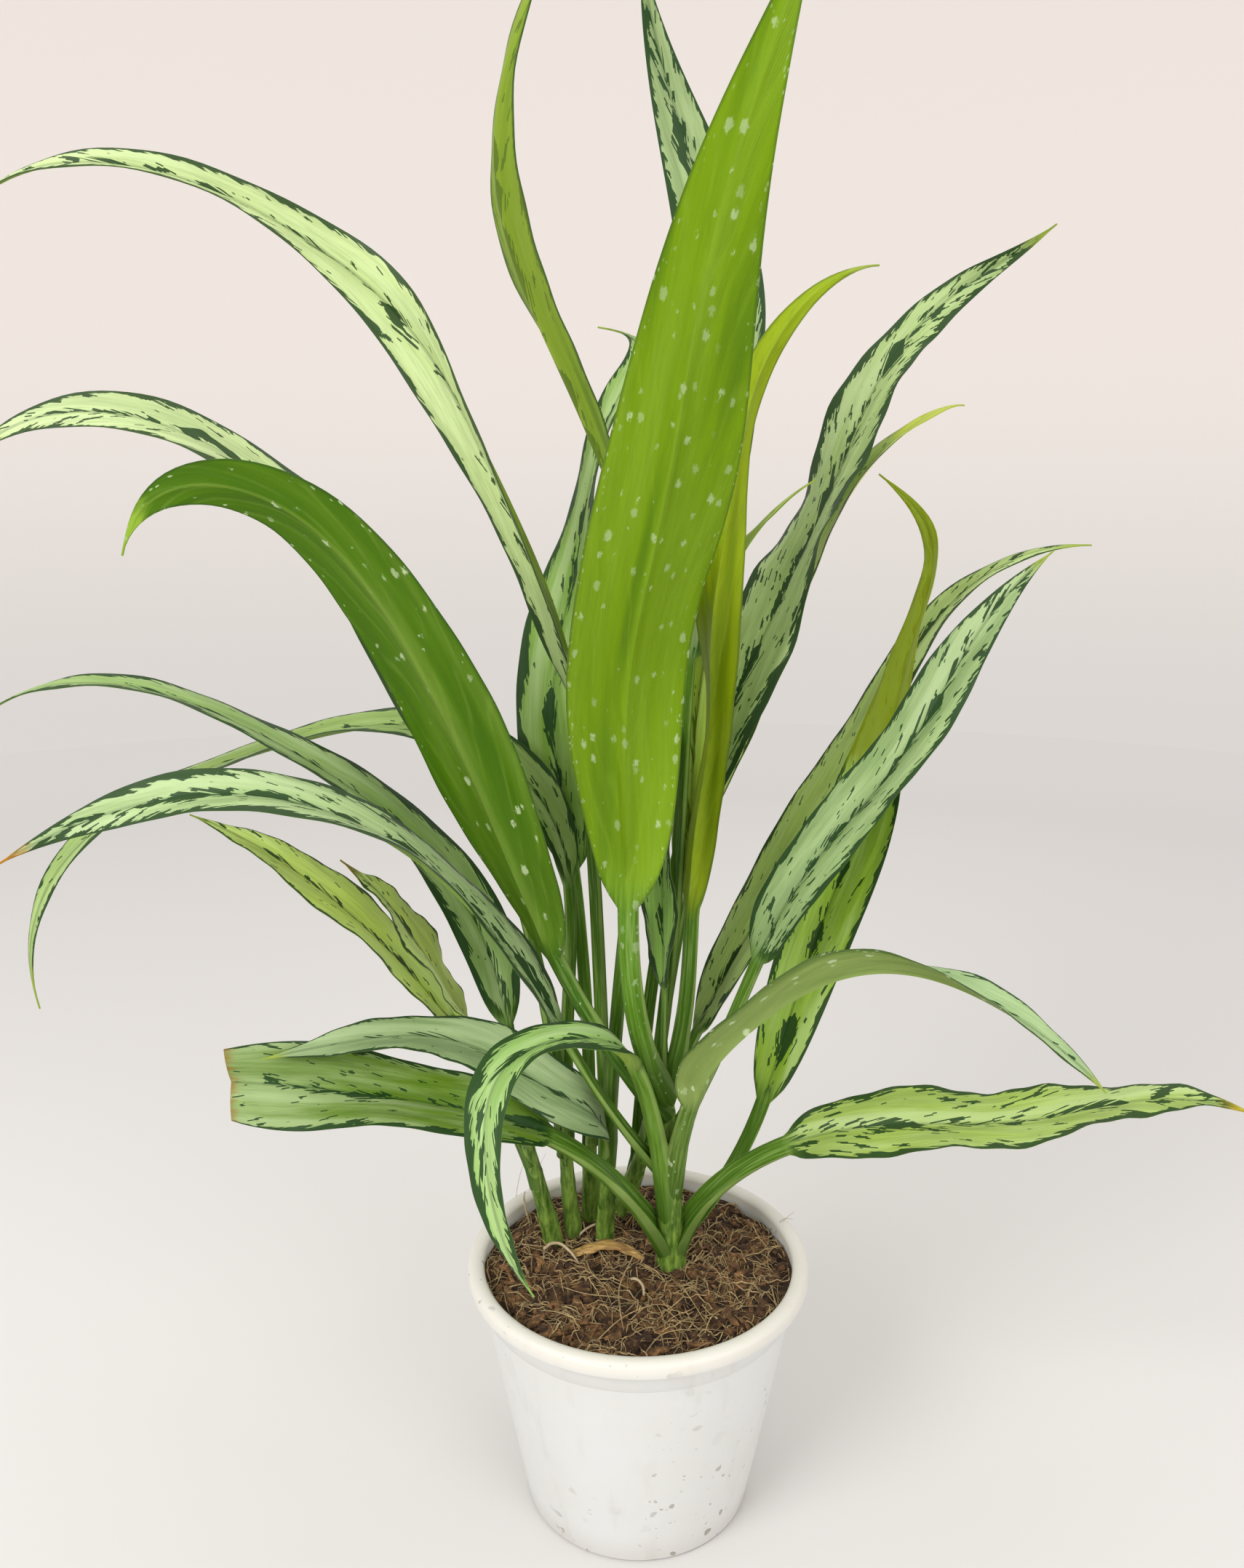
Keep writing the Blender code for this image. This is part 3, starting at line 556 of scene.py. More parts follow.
def leaf_skin_group(markings):
    """Colour, roughness and relief of a whole leaf from its base to its tip."""
    inputs = [("Seed", FLOAT)] + [(label, COLOUR) for label in LEAF_COLOURS]
    inputs += [(label, FLOAT) for label in LEAF_NUMBERS]
    outputs = (("Colour", COLOUR), ("Roughness", FLOAT), ("Height", FLOAT))
    group, w, given, result = new_group("leaf skin", inputs, outputs)
    length, across, edge, reach, column, upper = w.leaf_places()
    far = abs(across)
    seed = given["Seed"]
    marks = w.node("ShaderNodeGroup", node_tree=markings)
    for label in MARKING_NUMBERS:
        w.feed(marks.inputs[label], given[label])
    mask, grain = w.value(marks, "Mask"), w.value(marks, "Grain")
    # Long lateral veins leave the midrib at a small angle; fine ones fill the space between
    slant = length - far * 6.4
    wobble = w.noise((length / 40.0, across / 9.0, seed), 1.0, 1.0)
    swell = abs((slant / 38.0 + wobble * 1.6).fraction() - 0.5)
    vein = w.step(swell, 0.32, 0.5)
    fine = abs((slant / 4.2).fraction() - 0.5)
    bands = w.noise((length / 110.0, across / 8.0, seed), 1.0, 1.0)
    cloud = w.noise((length / 24.0, across / 5.0, seed), 1.0, 3.0)
    strands = w.noise((length / 15.0, across / 0.9, seed), 1.0, 3.0)
    thread = w.noise((length / 22.0, across / 0.8, seed), 1.0, 3.0)
    rib_width = 0.5 + w.step(reach, 1.0, 0.0, 0.0, 1.9)
    rib = w.step(far, rib_width, rib_width * 0.3)
    pale = w.mix(0.55, given["Silver"], srgb(216, 234, 186))
    deep = w.mix(0.45, given["Silver"], given["Top"])
    top = layered(
        w, given["Silver"],
        (w.step(cloud, 0.35, 0.72, 0.0, 0.4), pale),
        (w.step(reach, 0.45, 1.0, 0.0, 0.4), pale),
        (w.step(reach, 0.3, 0.0, 0.0, 0.35), deep),
        (w.step(strands, 0.6, 0.35, 0.0, 0.35), deep),
        (w.step(bands, 0.5, 0.3, 0.0, 0.5), deep),
        (w.step(bands, 0.52, 0.68, 0.0, 0.6), pale),
        (w.step(far, 0.8, 0.2, 0.0, 0.35), given["Top"]),
        (mask * 0.93, given["Top"]),
    )
    under = layered(
        w, given["Under"],
        # Painted sheen: grey-green bands in the Vein colour over the underside
        (w.step(bands, 0.45, 0.7, 0.0, 0.35), given["Vein"]),
        (w.step(bands, 0.5, 0.3, 0.0, 0.5), srgb(58, 100, 2)),
        # Painted sheen: more of the grey-green towards the blade's base; the veins, midrib and
        # margin after it are the leaf's own colours
        (w.step(reach, 0.35, 0.0, 0.0, 0.22), given["Vein"]),
        (vein * w.step(cloud, 0.35, 0.6) * 0.2, given["Vein"]),
        (w.step(strands, 0.6, 0.35, 0.0, 0.08), given["Top"]),
        (rib * 0.3, given["Vein"]),
        (w.step(edge, 0.9, 0.2, 0.0, 0.4), given["Top"]),
        (mask * given["Through"], given["Top"]),
    )
    stem = layered(
        w, given["Stem"],
        (w.step(thread, 0.45, 0.7, 0.0, 0.6), srgb(146, 178, 96)),
        (w.step(thread, 0.5, 0.25, 0.0, 0.5), srgb(40, 76, 14)),
        (w.step(abs(column), 0.93, 1.0, 0.0, 0.5), srgb(170, 194, 112)),
        (w.step(reach, -0.55, -1.0, 0.0, 0.6), srgb(62, 98, 26)),
    )
    ragged_tip = given["Tip Start"] + (grain - 0.5) * 0.06
    tip = w.step(reach, ragged_tip - 0.02, ragged_tip + 0.03)
    chalk = dried_spots(w, length, across, edge, seed, given["Chalk"]) * w.step(upper, 0.55, 0.45)
    blade = w.mix(w.step(upper, 0.45, 0.55), under, top)
    w.feed(result["Colour"], layered(
        w, stem,
        (w.step(reach, -0.015, 0.05), blade),
        (tip * 0.85, given["Tip"]),
        (chalk * 0.85, srgb(206, 224, 178)),
    ))
    w.feed(result["Roughness"], chalk * 0.35 + (0.34 + cloud * 0.16))
    blade_relief = (swell * -0.5 + bands + fine * 0.07) * w.step(reach, 0.0, 0.05)
    stem_relief = thread * 0.7 * w.step(reach, 0.05, 0.0)
    w.feed(result["Height"], blade_relief + stem_relief)
    return group


def leaf_material(leaf, settings):
    """One leaf's material, which its sheath shares: the common skin with this leaf's colours."""
    name = f"leaf_{leaf.name} skin"
    if name in bpy.data.materials:
        return bpy.data.materials[name]
    skin = bpy.data.node_groups.get("leaf skin")
    skin = skin or leaf_skin_group(leaf_markings_group(settings.vein_angle))
    look = LOOKS[leaf.name]
    material, w, shader = new_material(name, settings.roughness, srgb(*look.silver))
    inputs = {"Seed": 11.3 * (LEAVES.index(leaf) + 1)}
    for label in LEAF_NUMBERS:
        inputs[label] = getattr(look, label.lower().replace(" ", "_"))
    for label in LEAF_COLOURS:
        shown = srgb(*getattr(look, label.lower()))
        red, green, blue = (value * settings.brightness for value in shown)
        if label not in ("Top", "Silver"):
            blue *= 1 - settings.yellowness
        inputs[label] = (red, green, blue)
    group = w.node("ShaderNodeGroup", node_tree=skin)
    for label, value in inputs.items():
        w.feed(group.inputs[label], value)
    colour = w.value(group, "Colour")
    coat(w, shader, colour, w.value(group, "Height"))
    w.feed(shader.inputs["Roughness"], w.value(group, "Roughness"))
    shader.inputs["Specular IOR Level"].default_value = 0.16
    glow = w.node("ShaderNodeBsdfTranslucent", {"Color": colour})
    blend = w.node("ShaderNodeMixShader", (settings.glow, w.value(shader), w.value(glow)))
    w.feed(w.tree.nodes["Material Output"].inputs["Surface"], w.value(blend))
    return material


def cane_material():
    """Green cane with pale rings, dry shreds and a painted shadow line beside each sheath's free
    edge.
    """
    material, w, shader = new_material("cane skin", 0.5, srgb(90, 120, 60))
    x, y, z, height = w.millimetres()
    streaks = w.noise((x * 500.0, y * 500.0, height / 9.0), 1.0, 4.0, 0.6)
    ring = w.step(w.noise((0.0, 3.0, height / 2.2)), 0.55, 0.7)
    turn, rise, lap_and_shadow = w.split(w.attribute("leaf_part"))
    colour = layered(
        w, w.mix(w.step(streaks, 0.3, 0.7), srgb(60, 94, 22), srgb(132, 164, 66)),
        (ring * 0.22, srgb(150, 164, 100)),
        (w.step(lap_and_shadow, 0.75, 1.0, 0.0, 0.75), srgb(178, 196, 128)),
        # Painted shadow: a dark line on the cane just outside each sheath's free edge; the layer
        # before it is the edge's own pale membrane
        (w.step(lap_and_shadow, -1.0, -0.6, 0.6, 0.0), srgb(30, 54, 16)),
        (w.step(height, 96.0, 86.0), srgb(120, 104, 70)),
    )
    coat(w, shader, colour, streaks * 0.4)
    return material


def speckle_group():
    """Small dark scuffs and dust, shared by the pot's faces."""
    inputs = (("Scale", FLOAT), ("Amount", FLOAT))
    group, w, given, result = new_group("scuffs", inputs, (("Mask", FLOAT),))
    place = w.place()
    bend = w.noise(place, 140.0, output="Color")
    parts = (bend, (0.009, 0.009, 0.005), place)
    bent = w.node("ShaderNodeVectorMath", parts, operation="MULTIPLY_ADD")
    distance, draws = w.cells(w.value(bent), given["Scale"])
    chosen = w.step(draws[0], 1.0 - given["Amount"], 1.0)
    size = draws[1] * 0.3
    patches = w.step(w.noise(place, 16.0, 1.0), 0.42, 0.6)
    w.feed(result["Mask"], chosen * w.step(distance, size + 0.03, size) * patches)
    return group


def pot_material(settings, scuffs):
    """White moulded plastic, a little yellow at the rim, with scuffs and dust."""
    plastic = settings.plastic[:]
    material, w, shader = new_material("pot plastic", 0.42, plastic)
    x, y, z, height = w.millimetres()
    cloud = w.noise(w.place(), 22.0, 4.0, 0.6)
    smudge = w.noise((x * 90.0, y * 90.0, z * 22.0), 1.0, 4.0)
    colour = layered(
        w, plastic,
        (w.step(cloud, 0.35, 0.75, 0.0, 0.25), srgb(204, 200, 190)),
        (w.step(smudge, 0.52, 0.74, 0.0, 0.35), srgb(196, 193, 186)),
        (w.step(height, 93.0, 97.0, 0.0, 0.6), srgb(224, 220, 206)),
        (w.step(height, 14.0, 0.0, 0.0, 0.3), srgb(184, 178, 166)),
    )
    for scale, amount, share in ((80.0, 0.6, 0.85), (170.0, 0.5, 0.7), (380.0, 0.35, 0.6)):
        group = w.node("ShaderNodeGroup", node_tree=scuffs)
        w.feed(group.inputs["Scale"], scale)
        w.feed(group.inputs["Amount"], amount)
        colour = w.mix(w.value(group) * share, colour, settings.grime[:])
    coat(w, shader, colour, w.noise(w.place(), 900.0) * 0.02)
    w.feed(shader.inputs["Roughness"], w.step(cloud, 0.3, 0.8, 0.34, 0.52))
    shader.inputs["Subsurface Weight"].default_value = 0.08
    shader.inputs["Subsurface Scale"].default_value = 0.003
    return material


def coir_material(name, dark, light, scale, rough=0.95, relief=False):
    """Fibrous brown coir between two tones; its hollows get painted shade where the mesh tells
    them.
    """
    material, w, shader = new_material(name, rough, light)
    lumps = w.noise(w.place(), scale, 5.0, 0.65)
    grit = w.noise(w.place(), scale * 6, 3.0, 0.6)
    colour = w.mix(w.step(lumps, 0.4, 0.72), dark, light)
    colour = w.mix(w.step(grit, 0.55, 0.7) * 0.5, colour, srgb(156, 118, 72))
    if relief:
        deep = w.attribute("relief", "Fac")
        # Painted shade: the coir darkens in the hollows of the bed, where the relief is low
        colour = w.mix(w.step(deep, 0.2, -0.6, 0.0, 0.75), colour, srgb(30, 18, 10))
    coat(w, shader, colour, lumps * 1.2 + grit * 0.6)
    return material


def root_material(name, rough, colour, dark, light, scale):
    """Root skin with a fine grain between two tones."""
    material, w, shader = new_material(name, rough, srgb(*colour))
    coat(w, shader, w.mix(w.noise(w.place(), scale, 3.0), srgb(*dark), srgb(*light)))
    return material


# ---------------------------------------------------------------- shapes

def linked(name, data):
    """New object for its data, in the scene."""
    item = bpy.data.objects.new(name, data)
    bpy.context.scene.collection.objects.link(item)
    return item


def finished(name, mesh, materials, sharp=45.0):
    """Link a mesh as an object with its materials, shaded smooth."""
    for material in materials:
        mesh.materials.append(material)
    mesh.shade_smooth()
    mesh.set_sharp_from_angle(angle=math.radians(sharp))
    return linked(name, mesh)


def fitted(item, node=None):
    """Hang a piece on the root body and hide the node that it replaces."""
    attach(item, "root")
    if node:
        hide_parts(node)


def baked(item):
    """Mesh of an object with its modifiers or its bevel applied."""
    seen = item.evaluated_get(bpy.context.evaluated_depsgraph_get())
    return bpy.data.meshes.new_from_object(seen)


def to_mesh(builder, name, outward=True):
    """Turn a bmesh into a mesh, as a rule with its faces outward."""
    if outward:
        bmesh.ops.recalc_face_normals(builder, faces=builder.faces)
    mesh = bpy.data.meshes.new(name)
    builder.to_mesh(mesh)
    builder.free()
    return mesh


def smooth_value(places, values, at):
    """Read a smooth cubic through the values at one place along it."""
    spans = [after - before for before, after in zip(places, places[1:])]
    rises = [(values[i + 1] - values[i]) / span for i, span in enumerate(spans)]
    slopes = [rises[0]]
    for i in range(1, len(rises)):
        before, after = spans[i - 1], spans[i]
        slopes.append((rises[i - 1] * after + rises[i] * before) / (before + after))
    slopes.append(rises[-1])
    i = 0
    while i < len(rises) - 1 and at >= places[i + 1]:
        i += 1
    span = spans[i]
    t = (at - places[i]) / span
    start = (2 * t**3 - 3 * t**2 + 1) * values[i] + (t**3 - 2 * t**2 + t) * span * slopes[i]
    end = (3 * t**2 - 2 * t**3) * values[i + 1] + (t**3 - t**2) * span * slopes[i + 1]
    return start + end


def smooth_point(points, share):
    """Point on the smooth curve through some points, from the first at 0 to the last at 1."""
    at = share * (len(points) - 1)
    return Vector([smooth_value(range(len(points)), values, at) for values in zip(*points)])


def smoothstep(low, high, value):
    share = min(1.0, max(0.0, (value - low) / (high - low)))
    return share * share * (3 - 2 * share)


def cane_centre(shoot, height):
    """Point on a cane's axis at a height."""
    if height <= CANE_STRAIGHT:
        return Vector((*shoot.foot, height))
    bend = Vector((*shoot.foot, CANE_STRAIGHT))
    for end in (Vector(shoot.middle), Vector(shoot.top)):
        if height <= end.z or end.z == shoot.top[2]:
            return bend.lerp(end, (height - bend.z) / (end.z - bend.z))
        bend = end


Frame = namedtuple("Frame", "point side normal along reach")


def spine(leaf):
    """Frames from the cane to the tip, with the side and the upper normal of the blade."""
    stations = [leaf.petiole * i / PETIOLE_STEPS for i in range(PETIOLE_STEPS)]
    stations += [leaf.petiole + leaf.blade * i / BLADE_STEPS for i in range(BLADE_STEPS + 1)]
    stations = [place for place in stations if abs(place - leaf.sheath) > STATION_ROOM]
    stations = sorted(stations + [leaf.sheath])
    places = [0.0] + [leaf.petiole + leaf.blade * place for place in LEAN_PLACES]
    headings = (leaf.heading[0],) + tuple(leaf.heading)
    shoot = next(item for item in SHOOTS if item.name == leaf.shoot)
    point = cane_centre(shoot, leaf.attach)
    frames = []
    previous = None
    for index, along in enumerate(stations):
        lean = math.radians(smooth_value(places, leaf.lean, along))
        heading = math.radians(smooth_value(places, headings, along))
        outward = Vector((math.cos(heading), math.sin(heading), 0.0))
        side = Vector((-outward.y, outward.x, 0.0))
        tangent = outward * math.sin(lean) + UP * math.cos(lean)
        normal = UP * math.sin(lean) - outward * math.cos(lean)
        if previous:
            point = point + (previous + tangent) * 0.5 * (along - stations[index - 1])
        previous = tangent
        reach = max(0.0, (along - leaf.petiole) / leaf.blade)
        roll = math.radians(smooth_value(ROLL_PLACES, leaf.roll, reach))
        turned_side = math.cos(roll) * side + math.sin(roll) * normal
        turned_normal = math.cos(roll) * normal - math.sin(roll) * side
        frames.append(Frame(point, turned_side, turned_normal, along, reach))
    return frames


def blade_outline(reach):
    """Half width of a blade as a share of its widest, from its base to its point."""
    if reach < WIDEST:
        return (1 - (1 - reach / WIDEST) ** 2.6) ** 0.45
    return math.cos(math.pi / 2 * min(1.0, (reach - WIDEST) / (1 - WIDEST))) ** 1.1


def leaf_section(leaf, frame):
    """Points round the leaf at one frame, each with its place and part on the leaf."""
    rolled = leaf.width < 2 * leaf.stalk
    blend = 0.0 if rolled else smoothstep(0.0, BLEND_REACH, frame.reach)
    stalk = leaf.stalk * (1 + SHEATH_SWELL * max(0.0, 1 - frame.along / leaf.sheath))
    if rolled:
        stalk *= max(0.12, 1 - frame.reach**2)
    outline = blade_outline(frame.reach * leaf.cut) if frame.reach > 0 else 0.0
    half_width = max(outline * leaf.width / 2, stalk * (1 - blend), TIP_HALF_WIDTH)
    fold = math.radians(leaf.fold) * blend
    rib = (leaf.stalk - HALF_THICKNESS) * (1 - frame.reach) ** 1.6 * 0.8
    envelope = min(1.0, frame.reach / 0.12) * min(1.0, (1 - frame.reach) / 0.15)
    wing = 0.0 if rolled else (1 - blend) * smoothstep(0.0, 10.0, frame.along)
    wing *= 1 - smoothstep(0.35, 0.9, frame.along / leaf.petiole)
    petiole_reach = -(1 - frame.along / leaf.petiole) if frame.along < leaf.petiole else frame.reach
    upper = []
    lower = []
    for step in range(-ROUND_COLUMNS, ROUND_COLUMNS + 1):
        column = step / ROUND_COLUMNS
        away = abs(column)
        turn = math.radians(leaf.phase) + math.copysign(0.6, column)
        ripple = math.sin(2 * math.pi * leaf.waves * frame.reach + turn)
        fine = math.sin(2 * math.pi * (leaf.waves * 2.7 + 2) * frame.reach + 2.1 * turn)
        rise = away * half_width * math.sin(fold)
        rise += leaf.wave * envelope * (ripple * away**1.5 + 0.22 * fine * away**4)
        rise += 0.05 * half_width * blend * math.sin(math.pi * away)
        across = column * half_width
        middle = frame.point + frame.side * across * math.cos(fold) + frame.normal * rise
        round_share = math.sqrt(max(0.0, 1 - column * column))
        stalk_up = stalk * (0.12 + 0.5 * round_share)
        stalk_up -= stalk * 0.45 * wing * (1 - smoothstep(0, 0.8, away))
        stalk_up += stalk * 0.5 * wing * smoothstep(0.7, 1.0, away)
        stalk_down = stalk * (0.12 + 0.88 * round_share)
        half_thick = HALF_THICKNESS + (EDGE_THICKNESS - HALF_THICKNESS) * away**3
        rib_down = rib * math.exp(-(across / 1.1) ** 2)
        groove = 0.3 * math.exp(-(across / 0.9) ** 2) * (1 - frame.reach)
        up = stalk_up * (1 - blend) + (half_thick - groove) * blend
        down = stalk_down * (1 - blend) + (half_thick + rib_down) * blend
        place = ((frame.along - leaf.petiole) * MM, across * MM, petiole_reach)
        edge = (1 - away) * half_width * MM
        upper.append((middle + frame.normal * up, place, (column, 1.0, edge)))
        lower.append((middle - frame.normal * down, place, (column, 0.0, edge)))
    return upper + lower[::-1]


def extrude_rings(builder, rings):
    """Closed body through rings of points, each extruded from the end of the one before."""
    place_layer = builder.verts.layers.float_vector.get("leaf_place")
    part_layer = builder.verts.layers.float_vector.get("leaf_part")

    def put(face, ring):
        for vertex, item in zip(face.verts, ring):
            vertex.co = item[0] * MM
            if len(item) > 1:
                vertex[place_layer] = item[1]
                vertex[part_layer] = item[2]

    face = first = builder.faces.new([builder.verts.new() for item in rings[0]])
    put(first, rings[0])
    for ring in rings[1:]:
        made = bmesh.ops.extrude_face_region(builder, geom=[face])["geom"]
        end = next(item for item in made if isinstance(item, bmesh.types.BMFace))
        put(end, ring)
        if face is not first:
            builder.faces.remove(face)
        face = end


def leaf_builder():
    """Empty bmesh that keeps the place of each point on its leaf."""
    builder = bmesh.new()
    for label in ("leaf_place", "leaf_part"):
        builder.verts.layers.float_vector.new(label)
    return builder


def loft(name, rings):
    """Mesh of a closed body through rings of points."""
    builder = leaf_builder()
    extrude_rings(builder, rings)
    return to_mesh(builder, name)


def ring_of(centre, radius, sides, wobble=0.0, seed=0.0):
    """Level ring of points round a centre, a little uneven."""
    ring = []
    for index in range(sides):
        turn = 2 * math.pi * index / sides
        arm = Vector((math.cos(turn), math.sin(turn), 0.0))
        swell = 1 + wobble * noise.noise(arm * 1.3 + Vector((0, 0, centre.z * 0.12 + seed)))
        ring.append((centre + arm * radius * swell,))
    return ring


def spun(profile, sides):
    """Shell from an open profile of radius and height pairs that is spun round Z."""
    builder = bmesh.new()
    verts = [builder.verts.new((radius * MM, 0, height * MM)) for radius, height in profile]
    edges = [builder.edges.new(pair) for pair in zip(verts, verts[1:])]
    bmesh.ops.spin(builder, geom=verts + edges, axis=(0, 0, 1), cent=(0, 0, 0), angle=2 * math.pi,
                   steps=sides, use_merge=True)
    bmesh.ops.remove_doubles(builder, verts=builder.verts, dist=0.00001)
    return builder


def turned(name, profile, sides):
    """Closed body from such a shell, with the discs that it leaves filled."""
    builder = spun(profile, sides)
    rims = [edge for edge in builder.edges if edge.is_boundary]
    bmesh.ops.holes_fill(builder, edges=rims, sides=0)
    return to_mesh(builder, name)


def wall_radius(height, inset=0.0):
    """Radius of the pot's outer wall at a height, less an inset."""
    return BASE_RADIUS + (NECK_RADIUS - BASE_RADIUS) * height / (POT_HEIGHT - LIP_HEIGHT) - inset


def pot_profile(step_drop):
    """Outline of the pot from the pad under its foot, up the wall, over the rim and down inside."""
    under = POT_HEIGHT - LIP_HEIGHT
    floor = FOOT_HEIGHT + WALL
    profile = [(PAD_RADIUS - 0.3, 0), (PAD_RADIUS, 0.1), (PAD_RADIUS + 0.8, FOOT_HEIGHT)]
    profile += [(BASE_RADIUS - FOOT_WIDTH - 1.0, FOOT_HEIGHT), (BASE_RADIUS - FOOT_WIDTH, 0)]
    profile += [(BASE_RADIUS - 1.2, 0), (BASE_RADIUS - 0.5, 0.25), (wall_radius(1.0), 1.0)]
    step = under - step_drop / MM
    for index in range(1, PROFILE_STEPS + 1):
        height = step * index / PROFILE_STEPS
        profile.append((wall_radius(height), height))
    profile += [(wall_radius(step) + 0.25, step + 0.15), (wall_radius(step) + 0.6, step + 0.6)]
    profile += [(wall_radius(under) + 0.1, under - 0.6), (NECK_RADIUS + 0.6, under)]
    profile += [(RIM_RADIUS - 0.7, under + 0.05), (RIM_RADIUS - 0.2, under + 0.3)]
    profile.append((RIM_RADIUS, under + 0.9))
    crown = (RIM_RADIUS + MOUTH_RADIUS) / 2
    half = (RIM_RADIUS - MOUTH_RADIUS) / 2
    rise = half * 0.8
    for index in range(PROFILE_STEPS + 1):
        turn = math.pi * index / PROFILE_STEPS
        profile.append((crown + half * math.cos(turn), POT_HEIGHT - rise + rise * math.sin(turn)))
    profile.append((wall_radius(under, WALL), under - 1.0))
    for index in range(1, INSIDE_STEPS + 1):
        height = under - 1.0 - (under - floor - 3.0) * index / INSIDE_STEPS
        profile.append((wall_radius(height, WALL), height))
    profile.append((wall_radius(floor + 1.0, WALL), floor + 1.0))
    return profile + [(wall_radius(floor, WALL + 1.0), floor)]


def soil_height(x, y):
    """Lumpy top of the soil, as in the solid."""
    lumps = math.sin(x * 0.21 + 1.0) * math.cos(y * 0.17) + 0.6 * math.sin(x * 0.09 - y * 0.31)
    return SOIL_LEVEL + SOIL_RELIEF * lumps


def coir_height(x, y):
    """Top of the soil with its finer lumps."""
    place = Vector((x, y, 0.0))
    fine = noise.noise(place * 0.17) * 1.8 + noise.noise(place * 0.45) * 1.3
    return soil_height(x, y) + fine


def cut(item, cutters):
    """Subtract cutters from an object, keep the result as its mesh and remove them."""
    for cutter in cutters:
        step = item.modifiers.new(cutter.name, "BOOLEAN")
        step.operation = "DIFFERENCE"
        step.object = cutter
        step.solver = "EXACT"
    mesh = baked(item)
    item.modifiers.clear()
    item.data = mesh
    for cutter in cutters:
        bpy.data.objects.remove(cutter, do_unlink=True)


def drain_cutters():
    """Round rods where the drain holes go."""
    made = []
    for index in range(DRAIN_HOLES):
        turn = 2 * math.pi * index / DRAIN_HOLES
        x, y = DRAIN_CIRCLE * math.cos(turn), DRAIN_CIRCLE * math.sin(turn)
        rings = [ring_of(Vector((x, y, height)), DRAIN_RADIUS, 24) for height in (-5.0, 10.0)]
        made.append(finished(f"drain_{index}", loft("drain", rings), []))
    return made


def tube_object(name, strands, materials):
    """Thin round strands as one mesh: each is points with radii, and a material's number."""
    curve = bpy.data.curves.new(name, "CURVE")
    curve.dimensions = "3D"
    curve.bevel_depth = MM
    curve.bevel_resolution = 0
    curve.use_fill_caps = True
    for points, radii, slot in strands:
        spline = curve.splines.new("POLY")
        spline.points.add(len(points) - 1)
        spline.material_index = slot
        for target, place, radius in zip(spline.points, points, radii):
            target.co = (*(place * MM), 1.0)
            target.radius = radius
    for material in materials:
        curve.materials.append(material)
    item = linked(f"{name}_curve", curve)
    mesh = baked(item)
    bpy.data.objects.remove(item, do_unlink=True)
    mesh.name = name
    mesh.shade_smooth()
    return linked(name, mesh)


def free_of_canes(x, y, room):
    """Whether a spot on the soil is clear of every cane."""
    return all(math.dist((x, y), shoot.foot) > shoot.radius + room for shoot in SHOOTS)


def spot_on_soil(rng, inset=2.0, room=0.0):
    """Random spot on the soil that is clear of the canes."""
    limit = wall_radius(SOIL_LEVEL, WALL + GAP) - inset
    while True:
        radius = limit * math.sqrt(rng.random())
        turn = rng.random() * 2 * math.pi
        x, y = radius * math.cos(turn), radius * math.sin(turn)
        if free_of_canes(x, y, room):
            return x, y


def curled_fibre(rng):
    """One loose fibre that lies on the soil in a slack curve."""
    x, y = spot_on_soil(rng, 2.0)
    limit = wall_radius(SOIL_LEVEL, WALL + GAP) - 1.0
    heading = rng.uniform(0, 2 * math.pi)
    bend = rng.gauss(0, 0.09)
    length = rng.uniform(7, 17) * rng.choice((0.7, 1, 1, 1.8))
    lift = rng.choice((0.3, 0.6, 1.2, 2.4)) * rng.uniform(0.5, 1.4)
    points = []
    shares = []
    for index in range(FIBRE_POINTS):
        share = index / (FIBRE_POINTS - 1)
        shares.append(share)
        radius = math.hypot(x, y)
        if radius > limit:
            x, y = x * limit / radius, y * limit / radius
        height = coir_height(x, y) + 0.2 + lift * math.sin(math.pi * share) * rng.uniform(0.7, 1.2)
        points.append(Vector((x, y, height)))
        heading += bend + rng.gauss(0, 0.13)
        x += math.cos(heading) * length / FIBRE_POINTS
        y += math.sin(heading) * length / FIBRE_POINTS
    thick = rng.choice((0.1, 0.14, 0.19, 0.3)) * rng.uniform(0.8, 1.2)
    radii = [thick * (1 - 0.6 * abs(2 * share - 1) ** 3) for share in shares]
    return points, radii, rng.choice((0, 0, 1, 1, 2, 2, 3, 3))


def on_soil(points):
    """Points from x, y and rise over the soil."""
    return [(x, y, soil_height(x, y) + rise) for x, y, rise in points]


def arc_through(points, count, thick, slot=0):
    """Smooth strand over the soil through a few points, with a thin end."""
    points = on_soil(points)
    shares = [index / (count - 1) for index in range(count)]
    line = [smooth_point(points, share) for share in shares]
    return line, [thick * (1 - 0.55 * share**2) for share in shares], slot


# ---------------------------------------------------------------- operators

